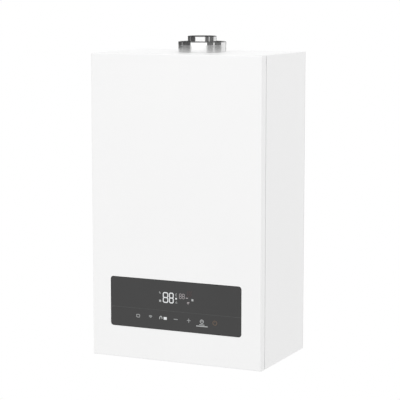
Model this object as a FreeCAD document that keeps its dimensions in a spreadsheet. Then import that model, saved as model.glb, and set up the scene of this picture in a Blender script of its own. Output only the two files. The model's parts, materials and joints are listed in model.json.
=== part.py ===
import FreeCAD, Part
import os
import re
import Sketcher

# A wall-hung gas boiler in millimetres: x to the right seen from the front, y back to the wall, z up.
# The origin is on the wall plane, on the centre line, level with the casing's bottom edge.

# Driving dimensions: name, value and what it measures
SIZES = [
    ("overrun", 1.0, "how far a cutting shape passes the face it cuts"),
    ("fit_gap", 0.3, "clearance round a fixed round piece in its hole"),
    ("running_gap", 0.05, "radial clearance of a shaft in its bearing"),
    ("case_width", 400.0, "casing, side to side"),
    ("case_depth", 245.0, "casing, wall to front face"),
    ("case_height", 662.0, "casing, bottom edge to top face"),
    ("casing_sheet", 1.0, "sheet of the painted panels"),
    ("frame_sheet", 1.2, "sheet of the rear frame"),
    ("cover_return", 20.0, "depth of the front cover's folded sides"),
    ("cover_bend", 3.0, "outside radius of the cover's bends"),
    ("seam_gap", 2.4, "gap between cover and side panel"),
    ("flange_width", 20.0, "folded flange of a side panel, from its outer face"),
    ("flange_rise", 30.0, "where the side flanges stop short of top and bottom"),
    ("flange_drop", 14.0, "folded edge of the top panel and bottom plate"),
    ("flange_gap", 0.4, "clearance between neighbouring flanges"),
    ("bottom_rise", 12.0, "bottom plate above the casing's bottom edge"),
    ("slot_spacing", 240.0, "hanging slots, centre to centre"),
    ("slot_length", 30.0, "hanging slot, end to end"),
    ("slot_width", 11.0, "hanging slot, across"),
    ("slot_drop", 30.0, "hanging slots below the casing's top"),
    ("vent_length", 60.0, "slot of the bottom plate's vents"),
    ("vent_width", 4.0, "slot of the bottom plate's vents, across"),
    ("vent_pitch", 10.0, "vent slots, centre to centre"),
    ("vent_inset", 24.0, "first vent slot behind the plate's front edge"),
    ("screw_radius", 2.0, "shank of a sheet screw"),
    ("screw_head", 4.0, "radius of a screw head"),
    ("screw_head_height", 2.4, "height of a screw head"),
    ("screw_play", 0.2, "radial clearance of a screw hole"),
    ("screw_recess", 0.2, "screw tip behind the wall face"),
    ("casing_screw_margin", 80.0, "outer casing screws from top and bottom"),
    ("stud_radius", 2.6, "shank of a cover stud"),
    ("stud_head", 4.5, "radius of a cover stud's rivet head"),
    ("stud_head_height", 1.6, "height of a cover stud's rivet head"),
    ("stud_reach", 9.0, "stud past the side flange's face"),
    ("stud_inset", 10.0, "stud centre from the casing's outer face"),
    ("stud_margin", 70.0, "stud centre from the casing's top and bottom"),
    ("grommet_wall", 2.2, "wall of a stud grommet"),
    ("grommet_collar", 2.0, "grommet collar past its wall"),
    ("grommet_collar_height", 1.5, "thickness of a grommet collar"),
    ("panel_inset", 45.5, "cover left and right of the touch glass"),
    ("panel_height", 107.6, "touch glass, bottom to top"),
    ("panel_level", 70.0, "touch glass above the bottom edge"),
    ("panel_corner", 6.0, "touch glass corner radius"),
    ("panel_bevel", 0.6, "touch glass edge chamfer"),
    ("glass_thick", 3.0, "touch glass thickness"),
    ("glass_recess", 0.2, "touch glass behind the cover's face"),
    ("window_gap", 0.8, "clearance of the glass in the cover's window"),
    ("crease_level", 41.7, "crease line above the glass's lower edge"),
    ("crease_width", 1.4, "width of the crease line"),
    ("crease_depth", 0.3, "depth of the crease line"),
    ("control_margin", 8.0, "control box past the glass, all round"),
    ("control_wall", 2.2, "wall of the control box"),
    ("control_depth", 43.0, "control box, front to back"),
    ("carrier_depth", 10.8, "panel carrier, front to back"),
    ("carrier_wall", 2.8, "wall of the panel carrier"),
    ("board_sheet", 1.6, "thickness of a circuit board"),
    ("board_margin", 9.0, "circuit board inside its housing"),
    ("post_radius", 3.0, "post that carries a circuit board"),
    ("post_inset", 14.0, "post from the board's corner"),
    ("display_post", 2.6, "height of the display board's posts"),
    ("display_width", 104.0, "display module, side to side"),
    ("display_height", 40.0, "display module, bottom to top"),
    ("display_depth", 4.6, "display module's thickness"),
    ("display_level", 50.0, "display module above the glass's lower edge"),
    ("display_gap", 1.0, "clearance of the display in the carrier"),
    ("main_post", 6.0, "height of the main board's posts"),
    ("part_height", 16.0, "tallest component on the main board"),
    ("relay_size", 19.0, "relay on the main board"),
    ("relay_pitch", 28.0, "relays, centre to centre"),
    ("transformer_size", 44.0, "transformer on the main board"),
    ("connector_width", 110.0, "connector row on the main board"),
    ("connector_height", 12.0, "connector row on the main board, across"),
    ("bracket_sheet", 1.5, "sheet of a side bracket"),
    ("bracket_width", 20.0, "side bracket, front to back"),
    ("bracket_fold", 18.0, "folded end of a side bracket"),
    ("bracket_inset", 6.0, "control brackets ahead of the box's back"),
    ("bracket_rise", 50.0, "control brackets above the box's floor"),
    ("bracket_low", 100.0, "lower chamber brackets above the chamber floor"),
    ("bracket_pitch", 210.0, "chamber brackets, lower to upper"),
    ("gland_radius", 9.0, "cable gland's thread"),
    ("gland_bore", 4.0, "cable gland's hole"),
    ("gland_nut", 13.0, "cable gland's nut, across corners, half"),
    ("gland_nut_height", 7.0, "cable gland's nut height"),
    ("gland_dome", 8.0, "cable gland's cap below its nut"),
    ("gland_inside", 6.0, "cable gland's lock nut above the plate"),
    ("gland_inset", 39.0, "cable gland from the side panel"),
    ("gland_wall", 50.0, "cable gland from the wall"),
    ("vessel_inset", 22.0, "expansion vessel from the side flanges"),
    ("vessel_headroom", 63.0, "expansion vessel to top panel"),
    ("vessel_neck_inset", 40.0, "expansion vessel's connection from its side"),
    ("vessel_jog", 46.0, "vessel pipe's sideways run, top to bottom"),
    ("vessel_depth", 44.0, "expansion vessel, front to back"),
    ("vessel_round", 14.0, "expansion vessel's edge radius"),
    ("vessel_wall", 1.4, "expansion vessel's wall"),
    ("vessel_rise", 10.0, "expansion vessel above the chamber floor"),
    ("vessel_gap", 3.0, "expansion vessel to chamber"),
    ("vessel_neck", 12.0, "expansion vessel's connection, length"),
    ("vessel_pipe_radius", 5.0, "vessel pipe, outside"),
    ("vessel_pipe_bend", 20.0, "vessel pipe, bend radius"),
    ("chamber_margin", 35.0, "casing left and right of the sealed chamber"),
    ("chamber_gap", 22.4, "control box to sealed chamber"),
    ("chamber_room", 31.0, "space between cover and chamber"),
    ("chamber_sheet", 0.8, "sheet of the sealed chamber"),
    ("door_lip", 16.0, "folded lip round the chamber's front opening"),
    ("seal_thick", 2.0, "chamber seal"),
    ("pan_inset", 34.0, "raised field of the chamber cover from its edge"),
    ("pan_height", 5.0, "raised field of the chamber cover"),
    ("sight_radius", 16.0, "opening of the sight glass"),
    ("sight_edge", 4.0, "sight glass past its opening"),
    ("sight_thick", 3.0, "sight glass thickness"),
    ("sight_level", 80.0, "sight glass above the chamber floor"),
    ("chamber_screw_grip", 3.0, "chamber screw past the lip"),
    ("stack_gap", 8.0, "combustion box to chamber back"),
    ("stack_margin", 59.0, "chamber left and right of the combustion box"),
    ("burner_room", 36.0, "chamber front to combustion box"),
    ("stack_sheet", 1.2, "sheet of burner tray and combustion box"),
    ("burner_lift", 18.0, "burner above the chamber floor"),
    ("blade_height", 42.0, "burner blade, bottom to top"),
    ("blade_width", 9.0, "burner blade, across"),
    ("blade_pitch", 16.0, "burner blades, centre to centre"),
    ("blade_gap", 1.0, "burner blade to tray wall"),
    ("blade_side", 8.0, "space beside the row of blades"),
    ("ledge_width", 8.0, "ledge that the blades rest on"),
    ("ledge_height", 2.0, "ledge thickness"),
    ("flame_slot", 2.0, "flame slot of a blade, across"),
    ("flame_slot_depth", 4.0, "flame slot of a blade, deep"),
    ("flame_slot_pitch", 9.0, "flame slots, centre to centre"),
    ("manifold_radius", 7.0, "gas manifold, outside"),
    ("manifold_end", 12.0, "gas manifold past the last injector"),
    ("injector_radius", 3.0, "gas injector, outside"),
    ("injector_length", 10.0, "gas injector between manifold and tray"),
    ("injector_reach", 2.0, "gas injector inside the tray"),
    ("injector_level", 12.0, "gas injectors above the burner's base"),
    ("manifold_stub", 16.0, "gas manifold's inlet below its axis"),
    ("hood_room", 34.0, "heat exchanger to fan volute"),
    ("exchanger_height", 56.0, "combustion box round the heat exchanger"),
    ("board_thick", 10.0, "insulation board"),
    ("electrode_radius", 3.5, "electrode's ceramic"),
    ("electrode_wire", 1.0, "electrode's wire"),
    ("electrode_out", 16.0, "ceramic ahead of the combustion box"),
    ("electrode_in", 20.0, "ceramic behind the combustion box's front"),
    ("electrode_tip", 18.0, "wire past the ceramic"),
    ("electrode_level", 14.0, "electrodes above the burner"),
    ("electrode_pitch", 14.0, "spark electrodes, centre to centre"),
    ("electrode_side", 38.0, "spark electrodes left of the centre line"),
    ("fin_sheet", 0.5, "heat exchanger fin"),
    ("fin_pitch", 7.0, "fins, centre to centre"),
    ("fin_margin", 4.0, "fin inside the combustion box, top and bottom"),
    ("fin_side", 6.0, "space beside the row of fins"),
    ("tube_radius", 8.0, "heat exchanger tube, outside"),
    ("tube_pitch", 22.0, "heat exchanger tubes, centre to centre"),
    ("tube_end", 14.0, "tubes past the combustion box"),
    ("tube_side", 15.0, "outer tube's centre from the combustion box's wall"),
    ("hood_sheet", 1.0, "sheet of the flue hood"),
    ("hood_lip", 8.0, "flue hood's front edge"),
    ("hood_rise", 28.0, "flue hood's slope, bottom to top"),
    ("hood_margin", 14.0, "flue hood above the fan inlet"),
    ("flue_back", 48.0, "flue centre ahead of the combustion box's back"),
    ("flue_bore", 30.2, "flue pipe's inside radius"),
    ("flue_sheet", 1.1, "flue pipe's wall"),
    ("flue_rise", 35.0, "flue pipe above the casing"),
    ("collar_bore", 50.3, "air collar's inside radius"),
    ("collar_sheet", 1.5, "air collar's wall"),
    ("collar_rise", 23.0, "air collar above the casing"),
    ("collar_flange", 3.5, "air collar's flange past its wall"),
    ("collar_flange_height", 1.5, "air collar's flange, thickness"),
    ("collar_neck_step", 0.6, "air collar's neck inside its wall, where it passes the top panel"),
    ("collar_groove", 0.6, "air collar's neck above the top panel"),
    ("flue_seal_width", 4.0, "flue seal, across"),
    ("flue_seal_height", 5.0, "flue seal, height"),
    ("fan_sheet", 1.0, "sheet of the fan volute"),
    ("fan_headroom", 24.0, "fan outlet below the top panel"),
    ("volute_radius", 62.0, "fan volute, outside"),
    ("volute_depth", 52.0, "fan volute, front to back"),
    ("volute_rise", 80.0, "fan outlet above the fan's axis"),
    ("outlet_half", 31.0, "half the fan outlet duct's width"),
    ("outlet_plate", 38.0, "half the fan outlet plate's width"),
    ("outlet_hole", 24.0, "radius of the fan outlet's hole"),
    ("socket_height", 12.0, "fan outlet's socket, height"),
    ("inlet_radius", 28.0, "fan inlet's hole"),
    ("shaft_hole", 6.0, "fan shaft's hole in the volute"),
    ("impeller_radius", 48.0, "fan impeller, outside"),
    ("impeller_depth", 30.0, "fan impeller, front to back"),
    ("impeller_plate", 2.0, "fan impeller's plate"),
    ("impeller_ring", 12.0, "fan impeller's rim, radial"),
    ("impeller_blade", 1.0, "fan impeller's blade thickness"),
    ("impeller_start", 9.0, "fan impeller behind the volute's front"),
    ("hub_radius", 9.0, "fan impeller's hub"),
    ("hub_depth", 18.0, "fan impeller's hub, front to back"),
    ("shaft_radius", 4.0, "shaft of fan and pump"),
    ("motor_radius", 30.0, "fan motor's can"),
    ("motor_clear", 16.0, "fan motor to chamber front"),
    ("motor_flange", 38.0, "fan motor's flange radius"),
    ("motor_flange_depth", 3.0, "fan motor's flange thickness"),
    ("motor_boss", 12.0, "fan motor's end boss radius"),
    ("motor_boss_depth", 6.0, "fan motor's end boss, length"),
    ("motor_end", 9.0, "shaft end inside the motor's end"),
    ("switch_radius", 34.0, "air pressure switch, base radius"),
    ("switch_base", 12.0, "air pressure switch, base thickness"),
    ("switch_cap_radius", 28.0, "air pressure switch, cap radius"),
    ("switch_cap", 12.0, "air pressure switch, cap thickness"),
    ("switch_drop", 60.0, "air pressure switch below the top panel"),
    ("switch_forward", 26.0, "air pressure switch ahead of the flue's centre"),
    ("port_radius", 3.0, "hose port, outside"),
    ("port_length", 14.0, "hose port, length"),
    ("port_spread", 14.0, "hose ports from the switch's centre"),
    ("hose_wall", 2.0, "pressure hose's wall"),
    ("hose_bend", 16.0, "pressure hose's bend radius"),
    ("hose_grip", 10.0, "pressure hose's overlap on its port"),
    ("tap_low", 64.0, "lower pressure tap below the fan outlet"),
    ("tap_pitch", 30.0, "pressure taps, lower to upper"),
    ("nipple_pitch", 65.0, "pipe connections, centre to centre"),
    ("nipple_wall", 100.0, "pipe connections from the wall"),
    ("nipple_drop", 25.0, "pipe connections below the bottom edge"),
    ("large_thread", 13.22, "G 3/4 thread, outside radius"),
    ("small_thread", 10.48, "G 1/2 thread, outside radius"),
    ("thread_wall", 3.2, "wall of a connection"),
    ("spigot_step", 1.5, "connection's spigot inside its thread"),
    ("hex_step", 5.0, "connection's hexagon past its thread"),
    ("hex_height", 9.0, "connection's hexagon, height"),
    ("block_base", 26.0, "water blocks above the bottom edge"),
    ("column_radius", 17.0, "main column of a water block"),
    ("column_bore", 10.0, "bore of a main column"),
    ("side_column", 15.0, "hot and cold column's radius"),
    ("side_bore", 8.5, "bore of the hot and cold columns"),
    ("flow_top", 92.0, "heating flow column's top"),
    ("return_top", 62.0, "heating return column's top"),
    ("side_bore_top", 70.0, "top of the hot and cold columns' bore"),
    ("header_radius", 12.0, "cross header of a water block"),
    ("header_level", 48.0, "cross header above the bottom edge"),
    ("chest_radius", 18.0, "diverter valve chest's radius"),
    ("chest_bore", 12.0, "diverter valve chest's bore"),
    ("chest_base", 34.0, "diverter valve chest's lower end"),
    ("chest_top", 102.0, "diverter valve chest's top"),
    ("chest_cap", 8.0, "guide at the top of the valve chest"),
    ("chest_floor", 8.0, "floor of the valve chest"),
    ("stem_radius", 3.0, "diverter stem's radius"),
    ("stem_rest", 4.0, "diverter stem's end above the chest's bore end"),
    ("stem_top", 12.0, "diverter stem inside the actuator"),
    ("stem_travel", 7.0, "diverter stem's stroke"),
    ("disc_radius", 10.0, "diverter valve disc"),
    ("disc_height", 5.0, "diverter valve disc, thickness"),
    ("disc_rise", 12.0, "diverter valve disc above the stem's end"),
    ("actuator_width", 30.0, "diverter actuator, side to side"),
    ("actuator_depth", 46.0, "diverter actuator, front to back"),
    ("actuator_height", 46.0, "diverter actuator, bottom to top"),
    ("actuator_bore", 4.5, "diverter actuator's hole for the stem"),
    ("actuator_round", 4.0, "diverter actuator's edge radius"),
    ("exchange_half", 95.0, "half the plate exchanger's width"),
    ("exchange_depth", 42.0, "plate exchanger, front to back"),
    ("exchange_back", 8.0, "plate exchanger from the wall"),
    ("exchange_low", 32.0, "plate exchanger's lower edge"),
    ("exchange_high", 112.0, "plate exchanger's upper edge"),
    ("exchange_rib", 2.4, "plate rim, thickness"),
    ("exchange_rim", 2.0, "plate rim past the core"),
    ("exchange_pitch", 3.9, "plate rims, centre to centre"),
    ("exchange_port", 9.0, "plate exchanger's port radius"),
    ("port_face", 64.0, "port faces from the wall"),
    ("port_low", 50.0, "lower ports above the bottom edge"),
    ("port_high", 94.0, "upper ports above the bottom edge"),
    ("pump_level", 102.0, "pump axis above the bottom edge"),
    ("pump_radius", 34.0, "pump housing, outside"),
    ("pump_depth", 36.0, "pump housing, front to back"),
    ("pump_wall", 4.0, "pump housing's wall"),
    ("pump_neck", 15.0, "pump housing's inlet neck"),
    ("pump_outlet", 11.0, "pump housing's outlet neck"),
    ("pump_outlet_rise", 12.0, "pump outlet above its housing"),
    ("pump_can", 31.0, "pump motor's can"),
    ("pump_clear", 12.0, "pump motor to control box"),
    ("pump_flange", 35.0, "pump motor's flange radius"),
    ("pump_flange_depth", 6.0, "pump motor's flange thickness"),
    ("pump_cap", 10.0, "pump motor's vent cap radius"),
    ("pump_cap_depth", 4.0, "pump motor's vent cap, length"),
    ("pump_wheel", 26.0, "pump impeller's radius"),
    ("pump_wheel_depth", 14.0, "pump impeller, front to back"),
    ("pump_wheel_start", 6.0, "pump impeller behind the housing's front wall"),
    ("pump_blade", 1.6, "pump impeller's blade thickness"),
    ("pump_hub", 8.0, "pump impeller's hub"),
    ("vent_boss", 10.0, "air vent's seat radius"),
    ("vent_side", 26.0, "air vent left of the pump's centre"),
    ("vent_seat", 138.0, "air vent's seat above the bottom edge"),
    ("vent_radius", 11.0, "air vent's body radius"),
    ("vent_height", 24.0, "air vent's body height"),
    ("vent_cap", 6.0, "air vent's cap radius"),
    ("vent_cap_height", 9.0, "air vent's cap height"),
    ("relief_boss", 12.0, "safety valve's seat radius"),
    ("relief_level", 44.0, "safety valve above the bottom edge"),
    ("relief_seat", 26.0, "safety valve's seat ahead of the connections"),
    ("relief_radius", 13.0, "safety valve's body radius"),
    ("relief_depth", 22.0, "safety valve's body, front to back"),
    ("relief_stem", 3.0, "safety valve's stem radius"),
    ("relief_stem_length", 14.0, "safety valve's stem, length"),
    ("relief_knob", 14.0, "safety valve's knob radius"),
    ("relief_knob_depth", 18.0, "safety valve's knob, front to back"),
    ("knob_gap", 0.4, "knob to the face behind it"),
    ("knob_flute", 2.4, "radius of a knob's flutes"),
    ("fill_clear", 44.0, "fill tap behind the control box"),
    ("fill_arm", 8.0, "fill tap's arm radius"),
    ("fill_boss", 9.0, "fill tap's body radius"),
    ("fill_boss_base", 22.0, "fill tap's body, lower end"),
    ("fill_stem", 4.0, "fill tap's stem radius"),
    ("fill_stem_top", 36.0, "fill tap's stem, upper end"),
    ("fill_knob_radius", 12.0, "fill tap's knob radius"),
    ("fill_knob_top", -2.0, "fill tap's knob, upper face"),
    ("fill_knob_height", 16.0, "fill tap's knob, height"),
    ("turbine_radius", 7.8, "flow turbine's radius"),
    ("turbine_base", 40.0, "flow turbine's lower end"),
    ("turbine_height", 14.0, "flow turbine's height"),
    ("turbine_blade", 1.0, "flow turbine's blade thickness"),
    ("turbine_hub", 2.6, "flow turbine's hub radius"),
    ("turbine_axle", 1.2, "flow turbine's axle radius"),
    ("turbine_pin", 6.0, "flow turbine's axle past the bore's end"),
    ("valve_half", 40.0, "half the gas valve's width"),
    ("valve_depth", 56.0, "gas valve, front to back"),
    ("valve_base", 72.0, "gas valve's lower face"),
    ("valve_height", 58.0, "gas valve, bottom to top"),
    ("valve_round", 5.0, "gas valve's edge radius"),
    ("valve_boss", 15.0, "gas valve's inlet and outlet radius"),
    ("valve_boss_height", 10.0, "gas valve's inlet and outlet, length"),
    ("coil_radius", 15.0, "gas coil's radius"),
    ("coil_clear", 12.0, "gas coils to control box"),
    ("coil_spread", 20.0, "gas coils from the valve's centre"),
    ("coil_level", 28.0, "gas coils above the valve's base"),
    ("plunger_radius", 6.0, "gas valve plunger's radius"),
    ("plunger_room", 6.0, "space ahead of a plunger in its coil"),
    ("plunger_seat", 6.0, "plunger's end inside the valve"),
    ("plunger_bore_end", 4.0, "coil left ahead of the plunger's bore"),
    ("gas_pipe_radius", 6.0, "gas feed pipe, outside"),
    ("gas_pipe_drop", 15.0, "gas feed pipe below the chamber"),
    ("gas_pipe_bend", 14.0, "gas feed pipe, bend radius"),
    ("pipe_bend", 15.0, "heating pipe, bend radius"),
    ("pipe_side", 17.0, "heating pipes inside the chamber's side"),
    ("pipe_jog_high", 24.0, "heating pipe's jog, upper end below the chamber"),
    ("pipe_straight", 16.0, "heating pipe above the pump outlet before its jog"),
    ("spark_side", 65.0, "spark lead left of the centre line"),
    ("lead_radius", 2.2, "wiring lead, outside"),
    ("lead_bend", 12.0, "wiring lead, bend radius"),
    ("lead_gap", 3.2, "leads ahead of the gas manifold"),
    ("fan_lead_inset", 42.2, "fan lead from the chamber's side"),
]

# Places worked out from the sizes, each written in the names of sizes and of other places
PLACES = {
    "half_width": "case_width / 2",
    "case_front": "-case_depth",
    "cover_inner": "case_front + casing_sheet",
    "cover_back": "case_front + cover_return",
    "side_front": "cover_back + seam_gap",
    "side_inner": "half_width - casing_sheet",
    "flange_inner": "half_width - flange_width",
    "frame_front": "-frame_sheet",
    "top_under": "case_height - casing_sheet",
    "plate_top": "bottom_rise + casing_sheet",
    "stud_side": "half_width - stud_inset",
    "stud_high": "case_height - stud_margin",
    "slot_level": "case_height - slot_drop",
    "casing_screw_pitch": "case_height / 2 - casing_screw_margin",
    "grommet_bore": "stud_radius + fit_gap",
    "grommet_radius": "grommet_bore + grommet_wall",
    "panel_top": "panel_level + panel_height",
    "panel_half": "half_width - panel_inset",
    "glass_front": "case_front + glass_recess",
    "glass_back": "glass_front + glass_thick",
    "carrier_back": "glass_back + carrier_depth",
    "control_back": "carrier_back + control_depth",
    "control_half": "panel_half + control_margin",
    "control_low": "panel_level - control_margin",
    "control_high": "panel_top + control_margin",
    "carrier_face": "glass_back + carrier_wall",
    "display_face": "carrier_face + display_post",
    "display_low": "panel_level + display_level",
    "main_face": "control_back - control_wall - main_post",
    "chamber_half": "half_width - chamber_margin",
    "chamber_base": "control_high + chamber_gap",
    "chamber_back": "frame_front - vessel_depth - vessel_gap",
    "chamber_front": "cover_inner + chamber_room",
    "chamber_floor": "chamber_base + chamber_sheet",
    "chamber_inner": "chamber_half - chamber_sheet",
    "door_face": "chamber_front - seal_thick - chamber_sheet",
    "pan_face": "door_face - pan_height",
    "stack_half": "chamber_half - stack_margin",
    "stack_width": "2 * stack_half",
    "stack_back": "chamber_back - chamber_sheet - stack_gap",
    "stack_front": "chamber_front + burner_room",
    "stack_depth": "stack_back - stack_front",
    "stack_middle": "(stack_back + stack_front) / 2",
    "burner_base": "chamber_floor + burner_lift",
    "burner_top": "burner_base + ledge_height + blade_height",
    "exchanger_top": "fan_level - volute_radius - hood_room",
    "firebox_top": "exchanger_top - exchanger_height",
    "tube_level": "firebox_top + exchanger_height / 2",
    "tube_reach": "stack_half + tube_end",
    "manifold_front": "stack_front - injector_length - manifold_radius",
    "injector_height": "burner_base + injector_level",
    "electrode_height": "burner_top + electrode_level",
    "flue_y": "stack_back - flue_back",
    "flue_outer": "flue_bore + flue_sheet",
    "collar_outer": "collar_bore + collar_sheet",
    "collar_neck": "collar_outer - collar_neck_step",
    "collar_foot": "case_height + collar_groove",
    "outlet_level": "top_under - fan_headroom",
    "socket_base": "outlet_level + fan_sheet",
    "socket_top": "socket_base + socket_height",
    "socket_bore": "flue_outer + fit_gap",
    "fan_side": "volute_radius - outlet_half",
    "fan_level": "outlet_level - volute_rise",
    "volute_back": "flue_y + volute_depth / 2",
    "volute_front": "flue_y - volute_depth / 2",
    "motor_front": "chamber_front + chamber_sheet + motor_clear",
    "motor_depth": "volute_front - motor_flange_depth - motor_boss_depth - motor_front",
    "impeller_front": "volute_front + impeller_start",
    "shaft_bore": "shaft_radius + running_gap",
    "hood_top": "fan_level + inlet_radius + hood_margin",
    "hood_slope": "exchanger_top + hood_rise",
    "switch_y": "flue_y - switch_forward",
    "switch_level": "top_under - switch_drop",
    "switch_face": "switch_base + switch_cap - chamber_inner",
    "tap_level": "outlet_level - tap_low",
    "nipple_y": "-nipple_wall",
    "flow_x": "-2 * nipple_pitch",
    "hot_x": "-nipple_pitch",
    "cold_x": "nipple_pitch",
    "return_x": "2 * nipple_pitch",
    "chest_x": "-1.5 * nipple_pitch",
    "fill_x": "1.5 * nipple_pitch",
    "fill_y": "control_back + fill_clear",
    "port_y": "-port_face",
    "exchange_front": "-exchange_back - exchange_depth",
    "stem_low": "chest_base + chest_floor + stem_rest",
    "stem_high": "chest_top + stem_top",
    "pump_front": "nipple_y - pump_depth / 2",
    "pump_back": "nipple_y + pump_depth / 2",
    "pump_inner": "pump_front + pump_wall",
    "pump_can_depth": "pump_front - pump_flange_depth - pump_cap_depth - control_back - pump_clear",
    "pump_outlet_top": "pump_level + pump_radius + pump_outlet_rise",
    "wheel_front": "pump_inner + pump_wheel_start",
    "relief_face": "nipple_y - relief_seat",
    "relief_front": "relief_face - relief_depth",
    "valve_front": "nipple_y - valve_depth / 2",
    "valve_back": "nipple_y + valve_depth / 2",
    "valve_top": "valve_base + valve_height",
    "coil_height": "valve_base + coil_level",
    "coil_front": "control_back + coil_clear",
    "plunger_end": "valve_front + plunger_seat",
    "plunger_front": "coil_front + plunger_bore_end + plunger_room",
    "gas_run": "chamber_base - gas_pipe_drop",
    "pipe_x": "chamber_inner - pipe_side",
    "vessel_low": "chamber_base + vessel_rise",
    "vessel_half": "flange_inner - vessel_inset",
    "vessel_top": "top_under - vessel_headroom",
    "vessel_front": "frame_front - vessel_depth",
    "neck_x": "vessel_half - vessel_neck_inset",
    "neck_low": "vessel_low - vessel_neck",
    "vessel_y": "frame_front - vessel_depth / 2",
    "lead_y": "manifold_front - manifold_radius - lead_gap",
    "fan_lead_x": "chamber_inner - fan_lead_inset",
    "gland_x": "side_inner - gland_inset",
}

# Counts that no size changes
FAN_BLADE_COUNT = 24
PUMP_BLADE_COUNT = 6
TURBINE_BLADE_COUNT = 4
KNOB_FLUTE_COUNT = 8
VENT_COUNT = 4
RELAY_COUNT = 4

doc = FreeCAD.newDocument("gas_boiler")
nodes = []


def write_sheet():
    table = doc.addObject("Spreadsheet::Sheet", "sizes")
    for row, (alias, number, meaning) in enumerate(SIZES, start=1):
        table.set(f"A{row}", meaning)
        table.set(f"B{row}", str(number))
        table.setAlias(f"B{row}", alias)
    doc.recompute()
    return table


sheet = write_sheet()


# Sizes and expressions

def bound(text):
    def spell(match):
        word = match.group()
        if word in PLACES:
            return f"({bound(PLACES[word])})"
        return f"sizes.{word}"
    return re.sub(r"[A-Za-z_]\w*", spell, text)


def amount(text):
    return float(sheet.evalExpression(bound(text)))


def fitting(room, pitch):
    return int(amount(f"({room}) / ({pitch})"))


def bind(item, prop, text):
    item.setExpression(prop, bound(text))


def minus(text):
    return f"-({text})"


def mirrored(side, low, high):
    return (low, high) if side > 0 else (minus(high), minus(low))


def centred(half):
    return (minus(half), half)


def about(centre, half):
    return (f"{centre} - {half}", f"{centre} + {half}")


# Rows that take as many copies as their room holds

BLADE_COUNT = fitting("stack_width - 2 * stack_sheet - 2 * blade_side", "blade_pitch")
FLAME_SLOT_COUNT = fitting("stack_depth - 2 * stack_sheet - 2 * ledge_width", "flame_slot_pitch")
FIN_COUNT = fitting("stack_width - 2 * stack_sheet - 2 * fin_side", "fin_pitch") + 1
PLATE_COUNT = fitting("exchange_depth - exchange_rib", "exchange_pitch") + 1
# an odd number of tubes, so that flow and return leave on opposite sides
TUBE_COUNT = 2 * fitting("stack_depth - 2 * tube_side", "2 * tube_pitch") + 1


# Part primitives and booleans

TURNS = {
    "x": FreeCAD.Rotation(FreeCAD.Vector(0, 1, 0), 90),
    "y": FreeCAD.Rotation(FreeCAD.Vector(1, 0, 0), -90),
    "-y": FreeCAD.Rotation(FreeCAD.Vector(1, 0, 0), 90),
    "z": FreeCAD.Rotation(),
}


def put(item, axis, at):
    item.Placement = FreeCAD.Placement(FreeCAD.Vector(), TURNS[axis])
    for direction, text in zip("xyz", at):
        bind(item, f"Placement.Base.{direction}", text)


def block(name, across, deep, tall):
    item = doc.addObject("Part::Box", name)
    for prop, (low, high) in zip(("Length", "Width", "Height"), (across, deep, tall)):
        bind(item, prop, f"({high}) - ({low})")
    put(item, "z", (across[0], deep[0], tall[0]))
    return item


def axis_place(axis, centre, low):
    first, second = centre
    return {"x": (low, first, second), "y": (first, low, second), "z": (first, second, low)}[axis]


def rod(name, radius, axis, centre, span):
    low, high = span
    item = doc.addObject("Part::Cylinder", name)
    bind(item, "Radius", radius)
    bind(item, "Height", f"({high}) - ({low})")
    put(item, axis, axis_place(axis, centre, low))
    return item


def hexagon(name, radius, centre, span):
    low, high = span
    item = doc.addObject("Part::Prism", name)
    item.Polygon = 6
    bind(item, "Circumradius", radius)
    bind(item, "Height", f"({high}) - ({low})")
    put(item, "z", (*centre, low))
    return item


def fuse(name, *items):
    joined = doc.addObject("Part::MultiFuse", name)
    joined.Shapes = list(items)
    joined.Refine = True
    return joined


def cut(name, base, *tools):
    result = doc.addObject("Part::Cut", name)
    result.Base = base
    result.Tool = tools[0] if len(tools) == 1 else fuse(f"{name}_cutters", *tools)
    result.Refine = True
    return result


def group(name, *items):
    bundle = doc.addObject("Part::Compound", name)
    bundle.Links = list(items)
    return bundle


def ring(name, inner, outer, axis, centre, span):
    low, high = span
    hole = (f"{low} - overrun", f"{high} + overrun")
    return cut(name, rod(f"{name}_outer", outer, axis, centre, span),
               rod(f"{name}_bore", inner, axis, centre, hole))


def rounded(name, base, radius):
    doc.recompute()
    item = doc.addObject("Part::Fillet", name)
    item.Base = base
    size = amount(radius)
    item.Edges = [(index, size, size) for index in range(1, len(base.Shape.Edges) + 1)]
    return item


def keep(item, label):
    item.Label = label
    nodes.append(item)
    return item


# Bodies with sketches

def new_body(name):
    owner = doc.addObject("PartDesign::Body", name)
    doc.recompute()
    return owner


def origin_of(owner, role):
    return next(item for item in owner.Origin.OriginFeatures if item.Role == role)


def new_sketch(owner, name, plane):
    sketch = owner.newObject("Sketcher::SketchObject", name)
    sketch.AttachmentSupport = (origin_of(owner, plane), [""])
    sketch.MapMode = "FlatFace"
    return sketch


def hold_point(sketch, geometry, point, across, up):
    for kind, axis, text in (("DistanceX", -2, across), ("DistanceY", -1, up)):
        if text == "0":
            sketch.addConstraint(Sketcher.Constraint("PointOnObject", geometry, point, axis))
            continue
        place = Sketcher.Constraint(kind, -1, 1, geometry, point, amount(text))
        index = sketch.addConstraint(place)
        bind(sketch, f"Constraints[{index}]", text)


def outline(owner, name, plane, corners):
    sketch = new_sketch(owner, name, plane)
    points = [FreeCAD.Vector(amount(across), amount(up), 0) for across, up in corners]
    count = len(points)
    for index, point in enumerate(points):
        sketch.addGeometry(Part.LineSegment(point, points[(index + 1) % count]))
    for index in range(count):
        sketch.addConstraint(Sketcher.Constraint("Coincident", index, 2, (index + 1) % count, 1))
    for index, (across, up) in enumerate(corners):
        hold_point(sketch, index, 1, across, up)
    return sketch


def oblong(owner, name, plane, across, up):
    corners = [(across[0], up[0]), (across[1], up[0]), (across[1], up[1]), (across[0], up[1])]
    return outline(owner, name, plane, corners)


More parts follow.
